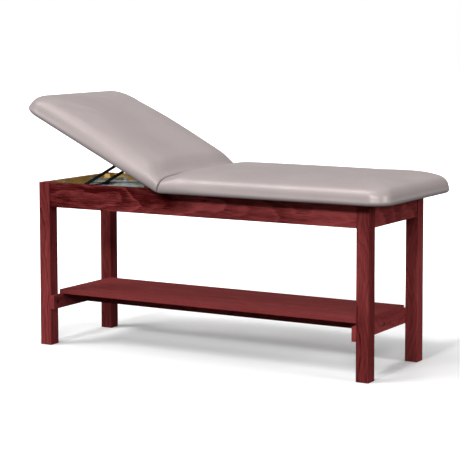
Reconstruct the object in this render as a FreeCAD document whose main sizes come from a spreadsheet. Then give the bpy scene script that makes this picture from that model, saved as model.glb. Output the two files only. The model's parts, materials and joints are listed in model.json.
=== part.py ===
import FreeCAD, Part
import math
import os
import re

import Sketcher

# Treatment table with a lift-up backrest, in millimetres and degrees.
# X runs along the table towards the foot end, Y towards the rear, Z up.
# The wooden frame is laid out from its own centre on the floor. The backrest, the prop and the
# guide shoes are laid out about their own pivots and are then set at the pose of the photograph.

SIZES = (
    # Wooden frame
    ("frame_long", 1613.0),
    ("frame_wide", 524.0),
    ("frame_high", 725.0),
    ("leg_side", 56.0),
    ("apron_deep", 109.0),
    ("apron_thick", 19.0),
    ("side_setback", 3.0),
    ("end_setback", 4.0),
    ("edge_round", 1.5),
    # Lower rails, beam and shelf
    ("rail_low", 162.0),
    ("rail_deep", 61.0),
    ("rail_thick", 19.0),
    ("shelf_thick", 19.0),
    ("shelf_wide", 392.0),
    # Cross rails between the long aprons
    ("cross_thick", 19.0),
    ("cross_deep", 80.0),
    ("hinge_cross_offset", 41.0),
    ("guide_cross_offset", 241.0),
    ("guide_cross_drop", 13.0),
    # Corner plates with their bolts and nuts
    ("plate_high", 75.0),
    ("plate_drop", 17.5),
    ("plate_thick", 2.0),
    ("plate_reach", 87.0),
    ("plate_flange", 22.0),
    ("plate_screw_rise", 20.0),
    ("bolt_radius", 4.0),
    ("bolt_bite", 32.0),
    ("bolt_end", 12.0),
    ("nut_radius", 7.5),
    ("nut_high", 6.5),
    # Bolts with sunk heads
    ("head_radius", 6.5),
    ("head_high", 8.0),
    ("sink_radius", 8.5),
    ("sink_deep", 9.0),
    ("leg_bolt_bite", 30.0),
    ("beam_bolt_bite", 40.0),
    # Wood screws and dowels
    ("screw_radius", 2.0),
    ("screw_head_radius", 4.0),
    ("screw_head_high", 2.0),
    ("apron_screw_bite", 13.0),
    ("board_screw_bite", 9.5),
    ("dowel_radius", 4.0),
    ("dowel_short_end", 11.0),
    ("dowel_long_end", 18.0),
    ("dowel_apart", 40.0),
    ("shelf_dowel_apart", 240.0),
    ("beam_dowel_apart", 700.0),
    # Angle brackets under the leg section
    ("angle_side", 30.0),
    ("angle_wide", 30.0),
    ("angle_thick", 2.5),
    ("angle_near", 338.0),
    ("angle_leg_clear", 108.5),
    # Upholstered top
    ("side_overhang", 81.0),
    ("end_overhang", 108.0),
    ("hinge_offset", 138.0),
    ("hinge_drop", 4.0),
    ("back_lift", 0.3),
    ("pad_high", 88.0),
    ("pad_roll_drop", 10.0),
    ("pad_roll_wide", 40.0),
    ("pad_hem", 18.0),
    ("pad_corner", 75.0),
    ("vinyl_thick", 1.2),
    ("foam_gap", 0.3),
    ("board_thick", 12.7),
    ("board_inset", 22.0),
    ("board_hinge_gap", 6.0),
    # Backrest travel: raised now, and fully raised
    ("rest_angle", 25.8),
    ("full_angle", 65.0),
    ("bevel_spare_angle", 1.0),
    ("pad_end_gap", 1.0),
    ("squash_gap", 0.2),
    # Long hinge
    ("hinge_side_clear", 25.0),
    ("leaf_wide", 34.0),
    ("leaf_thick", 1.5),
    ("leaf_cut_back", 5.2),
    ("knuckle_radius", 3.5),
    ("knuckle_gap", 0.4),
    ("hinge_pin_radius", 2.0),
    ("pin_head_thick", 1.0),
    ("leaf_screw_inset", 20.0),
    ("leaf_screw_end", 15.0),
    # Prop, its brackets and its guides
    ("prop_long", 315.0),
    ("prop_pivot_drop", 13.0),
    ("arm_guide_gap", 11.0),
    ("arm_deep", 12.0),
    ("arm_wide", 8.0),
    ("eye_radius", 9.0),
    ("pivot_pin_radius", 3.0),
    ("pivot_head_radius", 5.0),
    ("pivot_head_thick", 2.0),
    ("clevis_thick", 3.0),
    ("clevis_ear_radius", 8.0),
    ("clevis_base_long", 56.0),
    ("clevis_screw_apart", 40.0),
    ("foot_rod_radius", 5.0),
    ("foot_collar_radius", 8.0),
    ("foot_collar_wide", 3.0),
    ("foot_rod_end_inset", 1.5),
    ("guide_slope", 3.0),
    ("guide_side_clear", 143.0),
    ("guide_wide", 18.0),
    ("guide_high", 20.6),
    ("guide_wall", 2.0),
    ("guide_short_end", 212.0),
    ("guide_plate_high", 60.0),
    ("guide_plate_thick", 3.0),
    ("guide_screw_apart", 44.0),
    ("shoe_long", 24.0),
    ("shoe_inset", 2.0),
    ("shoe_wide", 13.5),
    ("shoe_clearance", 0.3),
    ("shoe_round", 2.0),
    # Fits
    ("pin_fit", 0.05),
    ("side_fit", 0.3),
    ("overrun", 1.0),
)

# Number of repeated pieces
KNUCKLES = 9
LEAF_SCREWS = 6

# Section of the pads: how high each station stands between the roll's lowest line and the crown,
# and how far in from the widest line it lies, as shares of the whole height and of the shoulder,
# which is itself a share of half the top's width. The corners grow a little towards the crown.
PAD_SHOULDER_SHARE = 0.6
PAD_HEIGHT_SHARES = (0.0, 0.035, 0.14, 0.285, 0.455, 0.62, 0.75, 0.845, 0.92, 0.972, 1.0)
PAD_INSET_SHARES = (0.047, 0.017, 0.0, 0.0, 0.013, 0.047, 0.106, 0.204, 0.383, 0.638, 1.0)
PAD_CORNER_GROWTH_SHARE = 0.1
PAD_CORNER_LIMIT_SHARE = 0.95

doc = FreeCAD.newDocument("TreatmentTable")
sheet = doc.addObject("Spreadsheet::Sheet", "Sizes")
for row, (name, value) in enumerate(SIZES, start=1):
    sheet.set(f"A{row}", str(value))
    sheet.setAlias(f"A{row}", name)
doc.recompute()
size = {name: float(sheet.get(name)) for name, _ in SIZES}

V = FreeCAD.Vector
X_AXIS, Y_AXIS, Z_AXIS = V(1, 0, 0), V(0, 1, 0), V(0, 0, 1)
# Turns that lay a piece drawn along +Z along another direction
TURNS = {
    "up": FreeCAD.Rotation(Z_AXIS, Z_AXIS),
    "down": FreeCAD.Rotation(Z_AXIS, -Z_AXIS),
    "right": FreeCAD.Rotation(Z_AXIS, X_AXIS),
    "left": FreeCAD.Rotation(Z_AXIS, -X_AXIS),
    "rear": FreeCAD.Rotation(Z_AXIS, Y_AXIS),
    "front": FreeCAD.Rotation(Z_AXIS, -Y_AXIS),
}
kept = []


# Helpers that draw bound pieces

def formula(text):
    """Write each size name in a formula the way the document looks it up in the sheet."""
    return re.sub(r"[a-z_]+", lambda word: f"Sizes.{word[0]}" if word[0] in size else word[0], text)


def bind(piece, **formulas):
    """Bind properties of a piece to formulas of the sheet's sizes."""
    for name, text in formulas.items():
        piece.setExpression(name, formula(text))


def locate(piece, x, y, z, turn=TURNS["up"]):
    """Turn a piece, then bind its place to three formulas."""
    piece.Placement = FreeCAD.Placement(V(), turn)
    for axis, text in zip("xyz", (x, y, z)):
        piece.setExpression(f"Placement.Base.{axis}", formula(text))


def block(name, long, wide, high, x, y, z, turn=TURNS["up"]):
    """A box by its lowest corner."""
    piece = doc.addObject("Part::Box", name)
    bind(piece, Length=long, Width=wide, Height=high)
    locate(piece, x, y, z, turn)
    return piece


def rod(name, radius, long, x, y, z, turn=TURNS["up"]):
    """A round bar that starts at a point and runs in a direction."""
    piece = doc.addObject("Part::Cylinder", name)
    bind(piece, Radius=radius, Height=long)
    locate(piece, x, y, z, turn)
    return piece


def join(name, pieces):
    """Several shapes fused to one piece."""
    piece = doc.addObject("Part::MultiFuse", name)
    piece.Shapes = pieces
    return piece


def group(name, pieces):
    """Alike pieces kept as separate solids under one name."""
    piece = doc.addObject("Part::Compound", name)
    piece.Links = pieces
    return piece


def cut(name, base, tools):
    """A piece with holes or ends cut away."""
    piece = doc.addObject("Part::Cut", name)
    piece.Base = base
    piece.Tool = tools[0] if len(tools) == 1 else group(f"{name}_cuts", tools)
    return piece


def eased(name, base, radius, along=None):
    """A piece with its straight edges rounded: all of them, or those along one axis."""
    doc.recompute()
    edges = []
    for index, edge in enumerate(base.Shape.Edges, start=1):
        if edge.Curve.TypeId != "Part::GeomLine":
            continue
        if along is None or abs(edge.tangentAt(edge.FirstParameter).dot(along)) > math.cos(math.radians(1)):
            edges.append((index, radius, radius))
    piece = doc.addObject("Part::Fillet", name)
    piece.Base = base
    piece.Edges = edges
    return piece


def keep(name, piece, body="frame"):
    """Label a finished piece with its node's name and note the body that it moves with."""
    piece.Label = name
    kept.append((name, piece, body))


def profile(name, points, plane, long):
    """A body padded from a closed outline, each corner held by two bound distances."""
    body = doc.addObject("PartDesign::Body", name)
    sketch = body.newObject("Sketcher::SketchObject", f"{name}_outline")
    origin_plane = next(item for item in body.Origin.OriginFeatures if item.Role == plane)
    sketch.AttachmentSupport = [(origin_plane, "")]
    sketch.MapMode = "FlatFace"
    probe = doc.addObject("Part::Feature", f"{name}_probe")
    places = []
    for point in points:
        for axis, text in zip("xy", point):
            probe.setExpression(f"Placement.Base.{axis}", formula(text))
        doc.recompute([probe])
        places.append(V(probe.Placement.Base))
    doc.removeObject(probe.Name)
    corners = len(points)
    for index, place in enumerate(places):
        sketch.addGeometry(Part.LineSegment(place, places[(index + 1) % corners]), False)
    for index in range(corners):
        sketch.addConstraint(Sketcher.Constraint("Coincident", index, 2, (index + 1) % corners, 1))
    for index, (point, place) in enumerate(zip(points, places)):
        for kind, text, value in zip(("DistanceX", "DistanceY"), point, (place.x, place.y)):
            number = sketch.addConstraint(Sketcher.Constraint(kind, -1, 1, index, 1, value))
            if text != "0":
                sketch.setExpression(f"Constraints[{number}]", formula(text))
    pad = body.newObject("PartDesign::Pad", f"{name}_pad")
    pad.Profile = sketch
    pad.setExpression("Length", formula(long))
    body.Tip = pad
    return body


def screw(name, x, y, z, turn, bite):
    """A pan-head screw seated at a point and driven in a direction, and the drill for its shank."""
    stem = rod(f"{name}_stem", "screw_radius", bite, x, y, z, turn)
    head = doc.addObject("Part::Cone", f"{name}_head")
    bind(head, Radius1="screw_head_radius", Radius2="screw_head_radius / 2", Height="screw_head_high")
    locate(head, x, y, z, turn * TURNS["down"])
    drill = rod(f"{name}_drill", "screw_radius + pin_fit", f"{bite} + overrun", x, y, z, turn)
    return join(name, [stem, head]), drill


def dowel(name, x, y, z, turn):
    """A dowel whose long end runs in a direction, and the drill for it."""
    pin = rod(f"{name}_pin", "dowel_radius", "dowel_short_end + dowel_long_end", x, y, z, turn)
    drill = rod(f"{name}_drill", "dowel_radius + pin_fit", "dowel_short_end + dowel_long_end", x, y, z, turn)
    return pin, drill


# Lines that several pieces share, as formulas
HALF_LONG = "frame_long / 2"
HALF_WIDE = "frame_wide / 2"
LEG_INNER_X = f"({HALF_LONG} - leg_side)"
LEG_INNER_Y = f"({HALF_WIDE} - leg_side)"
APRON_INNER_X = f"({HALF_LONG} - end_setback - apron_thick)"
APRON_INNER_Y = f"({HALF_WIDE} - side_setback - apron_thick)"
SHELF_LOW = "(rail_low + rail_deep)"
HINGE_HIGH = "(frame_high - hinge_drop)"
GUIDE_OPEN_Y = f"({APRON_INNER_Y} - guide_side_clear)"
ARM_Y = f"({GUIDE_OPEN_Y} - arm_guide_gap)"
SIDES = (("front", -1), ("rear", 1))
ENDS = (("left", -1), ("right", 1))
CORNERS = (
    ("front_left", -1, -1, 0.0),
    ("front_right", 1, -1, 90.0),
    ("rear_right", 1, 1, 180.0),
    ("rear_left", -1, 1, 270.0),
)

# Every fastener gives the piece itself and a drill, which is noted for the wood that it goes into
drills = {}


def drill_into(name, drill):
    """Note a drill for the piece that it goes into."""
    drills.setdefault(name, []).append(drill)


# Corner plates: a steel plate across each corner, flanged onto both aprons, drawn to the leg by a bolt
DIAGONAL_STEP = "(plate_thick * (sqrt(2) - 1))"
PLATE_OUTLINE = (
    ("0", "plate_reach"),
    ("plate_reach", "0"),
    ("plate_reach + plate_flange", "0"),
    ("plate_reach + plate_flange", "plate_thick"),
    (f"plate_reach + {DIAGONAL_STEP}", "plate_thick"),
    ("plate_thick", f"plate_reach + {DIAGONAL_STEP}"),
    ("plate_thick", "plate_reach + plate_flange"),
    ("0", "plate_reach + plate_flange"),
)
PLATE_LOW = "(frame_high - plate_drop - plate_high)"
PLATE_MIDDLE = f"({PLATE_LOW} + plate_high / 2)"
plate_screws, corner_bolts, corner_nuts = [], [], []
for corner, side_x, side_y, turned in CORNERS:
    corner_x = f"{side_x} * {APRON_INNER_X}"
    corner_y = f"{side_y} * {APRON_INNER_Y}"
    inward_x, inward_y = -side_x, -side_y
    plate = profile(f"plate_{corner}", PLATE_OUTLINE, "XY_Plane", "plate_high")
    locate(plate, corner_x, corner_y, PLATE_LOW, FreeCAD.Rotation(Z_AXIS, turned))
    holes = []
    for level in (-1, 1):
        height = f"{PLATE_MIDDLE} + {level} * plate_screw_rise"
        along = "(plate_reach + plate_flange / 2)"
        end_screw, end_drill = screw(
            f"plate_screw_end_{corner}_{level + 1}", f"{corner_x} + {inward_x} * plate_thick",
            f"{corner_y} + {inward_y} * {along}", height, TURNS["left" if side_x < 0 else "right"],
            "(apron_screw_bite + plate_thick)")
        side_screw, side_drill = screw(
            f"plate_screw_side_{corner}_{level + 1}", f"{corner_x} + {inward_x} * {along}",
            f"{corner_y} + {inward_y} * plate_thick", height, TURNS["front" if side_y < 0 else "rear"],
            "(apron_screw_bite + plate_thick)")
        plate_screws += [end_screw, side_screw]
        holes += [end_drill, side_drill]
        drill_into("apron_left_end" if side_x < 0 else "apron_right_end", end_drill)
        drill_into("apron_front" if side_y < 0 else "apron_rear", side_drill)
    outward = FreeCAD.Rotation(Z_AXIS, V(side_x, side_y, 0))
    inward = FreeCAD.Rotation(Z_AXIS, V(inward_x, inward_y, 0))
    # The bolt lies on the corner's diagonal, so its reach along X and Y is its length over root two
    seat = "((plate_reach / 2) + plate_thick * sqrt(2) / 2)"
    tip = f"({seat} + bolt_end / sqrt(2))"
    bolt_long = f"(bolt_end + plate_reach / sqrt(2) + plate_thick - (leg_side - apron_thick) * sqrt(2)" \
                " + bolt_bite + (end_setback + side_setback) / sqrt(2))"
    tip_x, tip_y = f"{corner_x} + {inward_x} * {tip}", f"{corner_y} + {inward_y} * {tip}"
    corner_bolts.append(rod(f"corner_bolt_{corner}", "bolt_radius", bolt_long,
                            tip_x, tip_y, PLATE_MIDDLE, outward))
    bolt_drill = rod(f"corner_bolt_drill_{corner}", "bolt_radius + pin_fit", f"{bolt_long} + overrun",
                     tip_x, tip_y, PLATE_MIDDLE, outward)
    holes.append(bolt_drill)
    drill_into(f"leg_{corner}", bolt_drill)
    nut = doc.addObject("Part::Prism", f"nut_{corner}")
    nut.Polygon = 6
    bind(nut, Circumradius="nut_radius", Height="nut_high")
    locate(nut, f"{corner_x} + {inward_x} * {seat}", f"{corner_y} + {inward_y} * {seat}",
           PLATE_MIDDLE, inward)
    corner_nuts.append(cut(f"nut_bored_{corner}", nut, [bolt_drill]))
    keep(f"corner_plate_{corner}", cut(f"plate_drilled_{corner}", plate, holes))
keep("corner_plate_screws", group("plate_screw_set", plate_screws))
keep("corner_bolts", group("corner_bolt_set", corner_bolts))
keep("corner_nuts", group("corner_nut_set", corner_nuts))


def sunk_bolt(name, x, y, z, turn, bite):
    """A bolt whose head is sunk in a wide hole, with the drills for its stem and its head."""
    stem = rod(f"{name}_stem", "bolt_radius", bite, x, y, z, turn)
    head = rod(f"{name}_head", "head_radius", "head_high", x, y, z, turn * TURNS["down"])
    stem_drill = rod(f"{name}_drill", "bolt_radius + pin_fit", f"{bite} + overrun", x, y, z, turn)
    sink = rod(f"{name}_sink", "sink_radius", "sink_deep + overrun", x, y, z, turn * TURNS["down"])
    return join(name, [stem, head]), stem_drill, sink


# Bolts of the lower rails: one into each leg, and one through each rail into the beam's end
RAIL_MIDDLE = "(rail_low + rail_deep / 2)"
rail_bolts, beam_bolts = [], []
for end, side_x in ENDS:
    outward, inward = ("left", "right") if side_x < 0 else ("right", "left")
    for side, side_y in SIDES:
        bolt, stem_drill, sink = sunk_bolt(
            f"rail_bolt_{side}_{end}", f"{side_x} * ({LEG_INNER_X} - rail_thick + sink_deep)",
            f"{side_y} * ({HALF_WIDE} - leg_side / 2)", RAIL_MIDDLE, TURNS[outward],
            "(rail_thick - sink_deep + leg_bolt_bite)")
        rail_bolts.append(bolt)
        drill_into(f"leg_{side}_{end}", stem_drill)
        drill_into(f"lower_rail_{end}", stem_drill)
        drill_into(f"lower_rail_{end}", sink)
    bolt, stem_drill, sink = sunk_bolt(
        f"beam_bolt_{end}", f"{side_x} * ({LEG_INNER_X} - sink_deep)", "0", RAIL_MIDDLE, TURNS[inward],
        "(rail_thick - sink_deep + beam_bolt_bite)")
    beam_bolts.append(bolt)
    drill_into(f"lower_rail_{end}", stem_drill)
    drill_into(f"lower_rail_{end}", sink)
    drill_into("shelf_beam", stem_drill)
keep("rail_bolts", group("rail_bolt_set", rail_bolts))
keep("beam_bolts", group("beam_bolt_set", beam_bolts))

# Blind dowels that hold the shelf on its rails and beam
shelf_dowels = []
DOWEL_LOW = f"({SHELF_LOW} - dowel_long_end)"
for end, side_x in ENDS:
    for side, side_y in SIDES:
        pin, drill = dowel(f"shelf_dowel_{side}_{end}", f"{side_x} * ({LEG_INNER_X} - rail_thick / 2)",
                           f"{side_y} * shelf_dowel_apart / 2", DOWEL_LOW, TURNS["up"])
        shelf_dowels.append(pin)
        drill_into(f"lower_rail_{end}", drill)
        drill_into("shelf", drill)
    pin, drill = dowel(f"beam_dowel_{end}", f"{side_x} * beam_dowel_apart / 2", "0", DOWEL_LOW, TURNS["up"])
    shelf_dowels.append(pin)
    drill_into("shelf_beam", drill)
    drill_into("shelf", drill)
keep("shelf_dowels", group("shelf_dowel_set", shelf_dowels))

# Cross rails between the long aprons: one under the hinge, one under the guides' right ends
CROSS_RAILS = (
    ("hinge_cross_rail", "(hinge_cross_offset - hinge_offset)", "frame_high"),
    ("guide_cross_rail", "(-hinge_offset - guide_cross_offset)", "(frame_high - guide_cross_drop)"),
)
cross_dowels = []
for name, low_x, top in CROSS_RAILS:
    for side, side_y in SIDES:
        for level in (-1, 1):
            pin, drill = dowel(
                f"{name}_dowel_{side}_{level + 1}", f"{low_x} + cross_thick / 2",
                f"{side_y} * ({APRON_INNER_Y} - dowel_long_end)",
                f"{top} - cross_deep / 2 + {level} * dowel_apart / 2", TURNS[side])
            cross_dowels.append(pin)
            drill_into(name, drill)
            drill_into(f"apron_{side}", drill)
keep("cross_rail_dowels", group("cross_dowel_set", cross_dowels))

# Angle brackets that screw the leg section's board down onto the long aprons
ANGLE_SCREW_SHARE = 0.6
ANGLE_MIDDLES = (("near", "(angle_near - hinge_offset)"), ("far", f"({LEG_INNER_X} - angle_leg_clear)"))
angle_screws = []
for side, side_y in SIDES:
    outline = (
        ("0", "0"),
        (f"{-side_y} * angle_side", "0"),
        (f"{-side_y} * angle_side", "-angle_thick"),
        (f"{-side_y} * angle_thick", "-angle_thick"),
        (f"{-side_y} * angle_thick", "-angle_side"),
        ("0", "-angle_side"),
    )
    for spot, middle in ANGLE_MIDDLES:
        angle = profile(f"angle_{side}_{spot}", outline, "YZ_Plane", "angle_wide")
        locate(angle, f"{middle} - angle_wide / 2", f"{side_y} * {APRON_INNER_Y}", "frame_high")
        into_apron, apron_drill = screw(
            f"angle_screw_apron_{side}_{spot}", middle, f"{side_y} * ({APRON_INNER_Y} - angle_thick)",
            f"frame_high - angle_side * {ANGLE_SCREW_SHARE}", TURNS[side], "(apron_screw_bite + angle_thick)")
        into_board, board_drill = screw(
            f"angle_screw_board_{side}_{spot}", middle,
            f"{side_y} * ({APRON_INNER_Y} - angle_side * {ANGLE_SCREW_SHARE})", "frame_high - angle_thick",
            TURNS["up"], "(board_screw_bite + angle_thick)")
        angle_screws += [into_apron, into_board]
        drill_into(f"apron_{side}", apron_drill)
        drill_into("leg_section_board", board_drill)
        keep(f"angle_bracket_{side}_{spot}",
             cut(f"angle_drilled_{side}_{spot}", angle, [apron_drill, board_drill]))
keep("angle_bracket_screws", group("angle_screw_set", angle_screws))

# Guides of the prop's foot: a channel on each side that falls away from the hinge to the end apron.
# A point that lies a length along the guide from the hinge axis is lower by its sine.
slope_turn = FreeCAD.Rotation(Y_AXIS, -size["guide_slope"])
GUIDE_REACH = f"({APRON_INNER_X} - hinge_offset)"
GUIDE_LONG_END = f"(({GUIDE_REACH} + guide_high) / cos(guide_slope))"
CROSS_MIDDLE = "(guide_cross_offset - cross_thick / 2)"
guide_screws = []
for side, side_y in SIDES:
    near_y, far_y = f"{side_y} * {GUIDE_OPEN_Y}", f"{side_y} * ({GUIDE_OPEN_Y} + guide_wide)"
    web_y = f"{side_y} * ({GUIDE_OPEN_Y} + guide_wide - guide_wall)"
    low_y = near_y if side_y > 0 else far_y
    outline = (
        (near_y, "-guide_high / 2"),
        (far_y, "-guide_high / 2"),
        (far_y, "guide_high / 2"),
        (near_y, "guide_high / 2"),
        (near_y, "guide_high / 2 - guide_wall"),
        (web_y, "guide_high / 2 - guide_wall"),
        (web_y, "guide_wall - guide_high / 2"),
        (near_y, "guide_wall - guide_high / 2"),
    )
    channel = profile(f"guide_channel_{side}", outline, "YZ_Plane", f"{GUIDE_LONG_END} - guide_short_end")
    locate(channel, f"-hinge_offset - {GUIDE_LONG_END} * cos(guide_slope)", "0",
           f"{HINGE_HIGH} - {GUIDE_LONG_END} * sin(guide_slope)", slope_turn)
    past_apron = block(f"guide_trim_{side}", "frame_wide", "frame_wide", "frame_high",
                       f"-{APRON_INNER_X} - frame_wide", f"-{HALF_WIDE}", "0")
    end_high = f"({HINGE_HIGH} - {GUIDE_REACH} * tan(guide_slope))"
    end_plate = block(f"guide_end_plate_{side}", "guide_plate_thick", "guide_wide", "guide_plate_high",
                      f"-{APRON_INNER_X}", low_y, f"{end_high} - guide_plate_high / 2")
    rail = join(f"guide_joined_{side}", [cut(f"guide_trimmed_{side}", channel, [past_apron]), end_plate])
    middle_y = f"{side_y} * ({GUIDE_OPEN_Y} + guide_wide / 2)"
    rail_drills = []
    for level in (-1, 1):
        end_screw, drill = screw(
            f"guide_end_screw_{side}_{level + 1}", f"guide_plate_thick - {APRON_INNER_X}", middle_y,
            f"{end_high} + {level} * guide_screw_apart / 2", TURNS["left"],
            "(apron_screw_bite + guide_plate_thick)")
        guide_screws.append(end_screw)
        rail_drills.append(drill)
        drill_into("apron_left_end", drill)
    seat_drop = "(guide_high / 2 - guide_wall)"
    cross_high = f"{HINGE_HIGH} - {CROSS_MIDDLE} * tan(guide_slope)"
    down_screw, drill = screw(
        f"guide_cross_screw_{side}", f"-hinge_offset - {CROSS_MIDDLE} + {seat_drop} * sin(guide_slope)",
        middle_y, f"{cross_high} - {seat_drop} * cos(guide_slope)",
        slope_turn * TURNS["down"], "(apron_screw_bite + guide_wall)")
    guide_screws.append(down_screw)
    rail_drills.append(drill)
    drill_into("guide_cross_rail", drill)
    notch = block(
        f"guide_notch_{side}", "cross_thick * 2", "guide_wide + side_fit * 2", "guide_high + cross_deep",
        f"-hinge_offset - {CROSS_MIDDLE} - cross_thick * cos(guide_slope)"
        " + guide_high / 2 * sin(guide_slope)", f"{low_y} - side_fit",
        f"{cross_high} - cross_thick * sin(guide_slope) - guide_high / 2 * cos(guide_slope)", slope_turn)
    drill_into("guide_cross_rail", notch)
    keep(f"prop_guide_{side}", cut(f"guide_drilled_{side}", rail, rail_drills))
keep("prop_guide_screws", group("guide_screw_set", guide_screws))


# The long hinge under the two boards: knuckles in turn on the fixed and on the moving leaf. It fits
# between the long aprons, and its screws are spread evenly between two ends of their own.
HINGE_LONG = f"(({APRON_INNER_Y} - hinge_side_clear) * 2)"
LEAF_SCREW_STEP = f"(({HINGE_LONG} - leaf_screw_end * 2) / {LEAF_SCREWS - 1})"


def hinge_leaf(name, side_x, axis_x, axis_z, lift, first, board):
    """A leaf with every second knuckle, and its screws; side_x is 1 on the leg section's side."""
    top = f"({axis_z} + hinge_drop + {lift})"
    plate_x = f"{axis_x} + leaf_cut_back" if side_x > 0 else f"{axis_x} - leaf_wide"
    pieces = [block(f"{name}_plate", "leaf_wide - leaf_cut_back", HINGE_LONG, "leaf_thick",
                    plate_x, f"-{HINGE_LONG} / 2", f"{top} - leaf_thick")]
    tongue_x = axis_x if side_x > 0 else f"{axis_x} - leaf_cut_back - overrun"
    pitch = f"({HINGE_LONG} / {KNUCKLES})"
    for number in range(first, KNUCKLES, 2):
        start_y = f"{number} * {pitch} + knuckle_gap / 2 - {HINGE_LONG} / 2"
        pieces.append(block(f"{name}_tongue_{number}", "leaf_cut_back + overrun", f"{pitch} - knuckle_gap",
                            f"hinge_drop + {lift} - knuckle_radius / 2", tongue_x, start_y,
                            f"{axis_z} + knuckle_radius / 2"))
        pieces.append(rod(f"{name}_knuckle_{number}", "knuckle_radius", f"{pitch} - knuckle_gap",
                          axis_x, start_y, axis_z, TURNS["rear"]))
    bore = rod(f"{name}_bore", "hinge_pin_radius + pin_fit", f"{HINGE_LONG} + overrun * 2",
               axis_x, f"-{HINGE_LONG} / 2 - overrun", axis_z, TURNS["rear"])
    screws, holes = [], [bore]
    for number in range(LEAF_SCREWS):
        fixing, drill = screw(f"{name}_screw_{number}", f"{axis_x} + {side_x} * leaf_screw_inset",
                              f"leaf_screw_end - {HINGE_LONG} / 2 + {number} * {LEAF_SCREW_STEP}",
                              f"{top} - leaf_thick", TURNS["up"], "(board_screw_bite + leaf_thick)")
        screws.append(fixing)
        holes.append(drill)
        drill_into(board, drill)
    return cut(f"{name}_drilled", join(f"{name}_joined", pieces), holes), group(f"{name}_screw_set", screws)


fixed_leaf, fixed_screws = hinge_leaf("fixed_leaf", 1, "-hinge_offset", HINGE_HIGH, "0", 0,
                                      "leg_section_board")
moving_leaf, moving_screws = hinge_leaf("moving_leaf", -1, "0", "0", "back_lift", 1, "backrest_board")
keep("hinge_leaf_fixed", fixed_leaf)
keep("hinge_screws_fixed", fixed_screws)
keep("hinge_leaf_moving", moving_leaf, "backrest")
keep("hinge_screws_moving", moving_screws, "backrest")
hinge_pin = [rod("hinge_pin_stem", "hinge_pin_radius", HINGE_LONG, "-hinge_offset", f"-{HINGE_LONG} / 2",
                 HINGE_HIGH, TURNS["rear"])]
for side, side_y in SIDES:
    hinge_pin.append(rod(f"hinge_pin_head_{side}", "knuckle_radius", "pin_head_thick", "-hinge_offset",
                         f"{side_y} * {HINGE_LONG} / 2", HINGE_HIGH, TURNS[side]))
keep("hinge_pin", join("hinge_pin_joined", hinge_pin))

# Brackets under the backrest's board, each a forked plate, with the pin that the prop's arm turns on
PIVOT_X = "(-sqrt(prop_long * prop_long - prop_pivot_drop * prop_pivot_drop))"
BACK_LOW = "(hinge_drop + back_lift)"
FORK_HALF = "(arm_wide / 2 + side_fit + clevis_thick)"
pivot_pins, clevis_screws = [], []
for side, side_y in SIDES:
    arm_y = f"({side_y} * {ARM_Y})"
    pieces = [block(f"clevis_base_{side}", "clevis_base_long", f"{FORK_HALF} * 2", "clevis_thick",
                    f"{PIVOT_X} - clevis_base_long / 2", f"{arm_y} - {FORK_HALF}",
                    f"{BACK_LOW} - clevis_thick")]
    for ear, ear_y in (("low", f"{arm_y} - {FORK_HALF}"), ("high", f"{arm_y} + {FORK_HALF} - clevis_thick")):
        pieces.append(block(f"clevis_ear_{ear}_{side}", "clevis_ear_radius * 2", "clevis_thick",
                            f"prop_pivot_drop + {BACK_LOW} - clevis_thick / 2",
                            f"{PIVOT_X} - clevis_ear_radius", ear_y, "-prop_pivot_drop"))
        pieces.append(rod(f"clevis_round_{ear}_{side}", "clevis_ear_radius", "clevis_thick",
                          PIVOT_X, ear_y, "-prop_pivot_drop", TURNS["rear"]))
    bore = rod(f"clevis_bore_{side}", "pivot_pin_radius + pin_fit", f"{FORK_HALF} * 2 + overrun * 2", PIVOT_X,
               f"{arm_y} - {FORK_HALF} - overrun", "-prop_pivot_drop", TURNS["rear"])
    holes = [bore]
    for step in (-1, 1):
        fixing, drill = screw(f"clevis_screw_{side}_{step + 1}",
                              f"{PIVOT_X} + {step} * clevis_screw_apart / 2", arm_y,
                              f"{BACK_LOW} - clevis_thick", TURNS["up"],
                              "(board_screw_bite + clevis_thick)")
        clevis_screws.append(fixing)
        holes.append(drill)
        drill_into("backrest_board", drill)
    fork = join(f"clevis_{side}", pieces)
    keep(f"prop_bracket_{side}", cut(f"clevis_drilled_{side}", fork, holes), "backrest")
    stem = rod(f"pivot_stem_{side}", "pivot_pin_radius", f"({FORK_HALF} + pin_fit) * 2",
               PIVOT_X, f"{arm_y} - {FORK_HALF} - pin_fit", "-prop_pivot_drop", TURNS["rear"])
    heads = [rod(f"pivot_head_{end}_{side}", "pivot_head_radius", "pivot_head_thick", PIVOT_X,
                 f"{arm_y} + {step} * ({FORK_HALF} + pin_fit)", "-prop_pivot_drop", TURNS[end])
             for end, step in SIDES]
    pivot_pins.append(join(f"pivot_pin_{side}", [stem] + heads))
keep("prop_pivot_pins", group("pivot_pin_set", pivot_pins), "backrest")
keep("prop_bracket_screws", group("clevis_screw_set", clevis_screws), "backrest")

# The prop: two arms and the rod across their feet, laid out from the upper pivot towards the left
ARM_ENDS = (("upper", "0", "pivot_pin_radius"), ("lower", "-prop_long", "foot_rod_radius"))
for side, side_y in SIDES:
    low_y = f"{side_y} * {ARM_Y} - arm_wide / 2"
    bar = block(f"arm_bar_{side}", "prop_long", "arm_wide", "arm_deep", "-prop_long", low_y, "-arm_deep / 2")
    eyes = [rod(f"arm_eye_{end}_{side}", "eye_radius", "arm_wide", x, low_y, "0", TURNS["rear"])
            for end, x, _ in ARM_ENDS]
    holes = [rod(f"arm_bore_{end}_{side}", f"{radius} + pin_fit", "arm_wide + overrun * 2", x,
                 f"{low_y} - overrun", "0", TURNS["rear"])
             for end, x, radius in ARM_ENDS]
    keep(f"prop_arm_{side}", cut(f"arm_drilled_{side}", join(f"arm_{side}", [bar] + eyes), holes), "prop")
FOOT_ROD_HALF = f"({GUIDE_OPEN_Y} + shoe_inset + shoe_wide - foot_rod_end_inset)"
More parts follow.
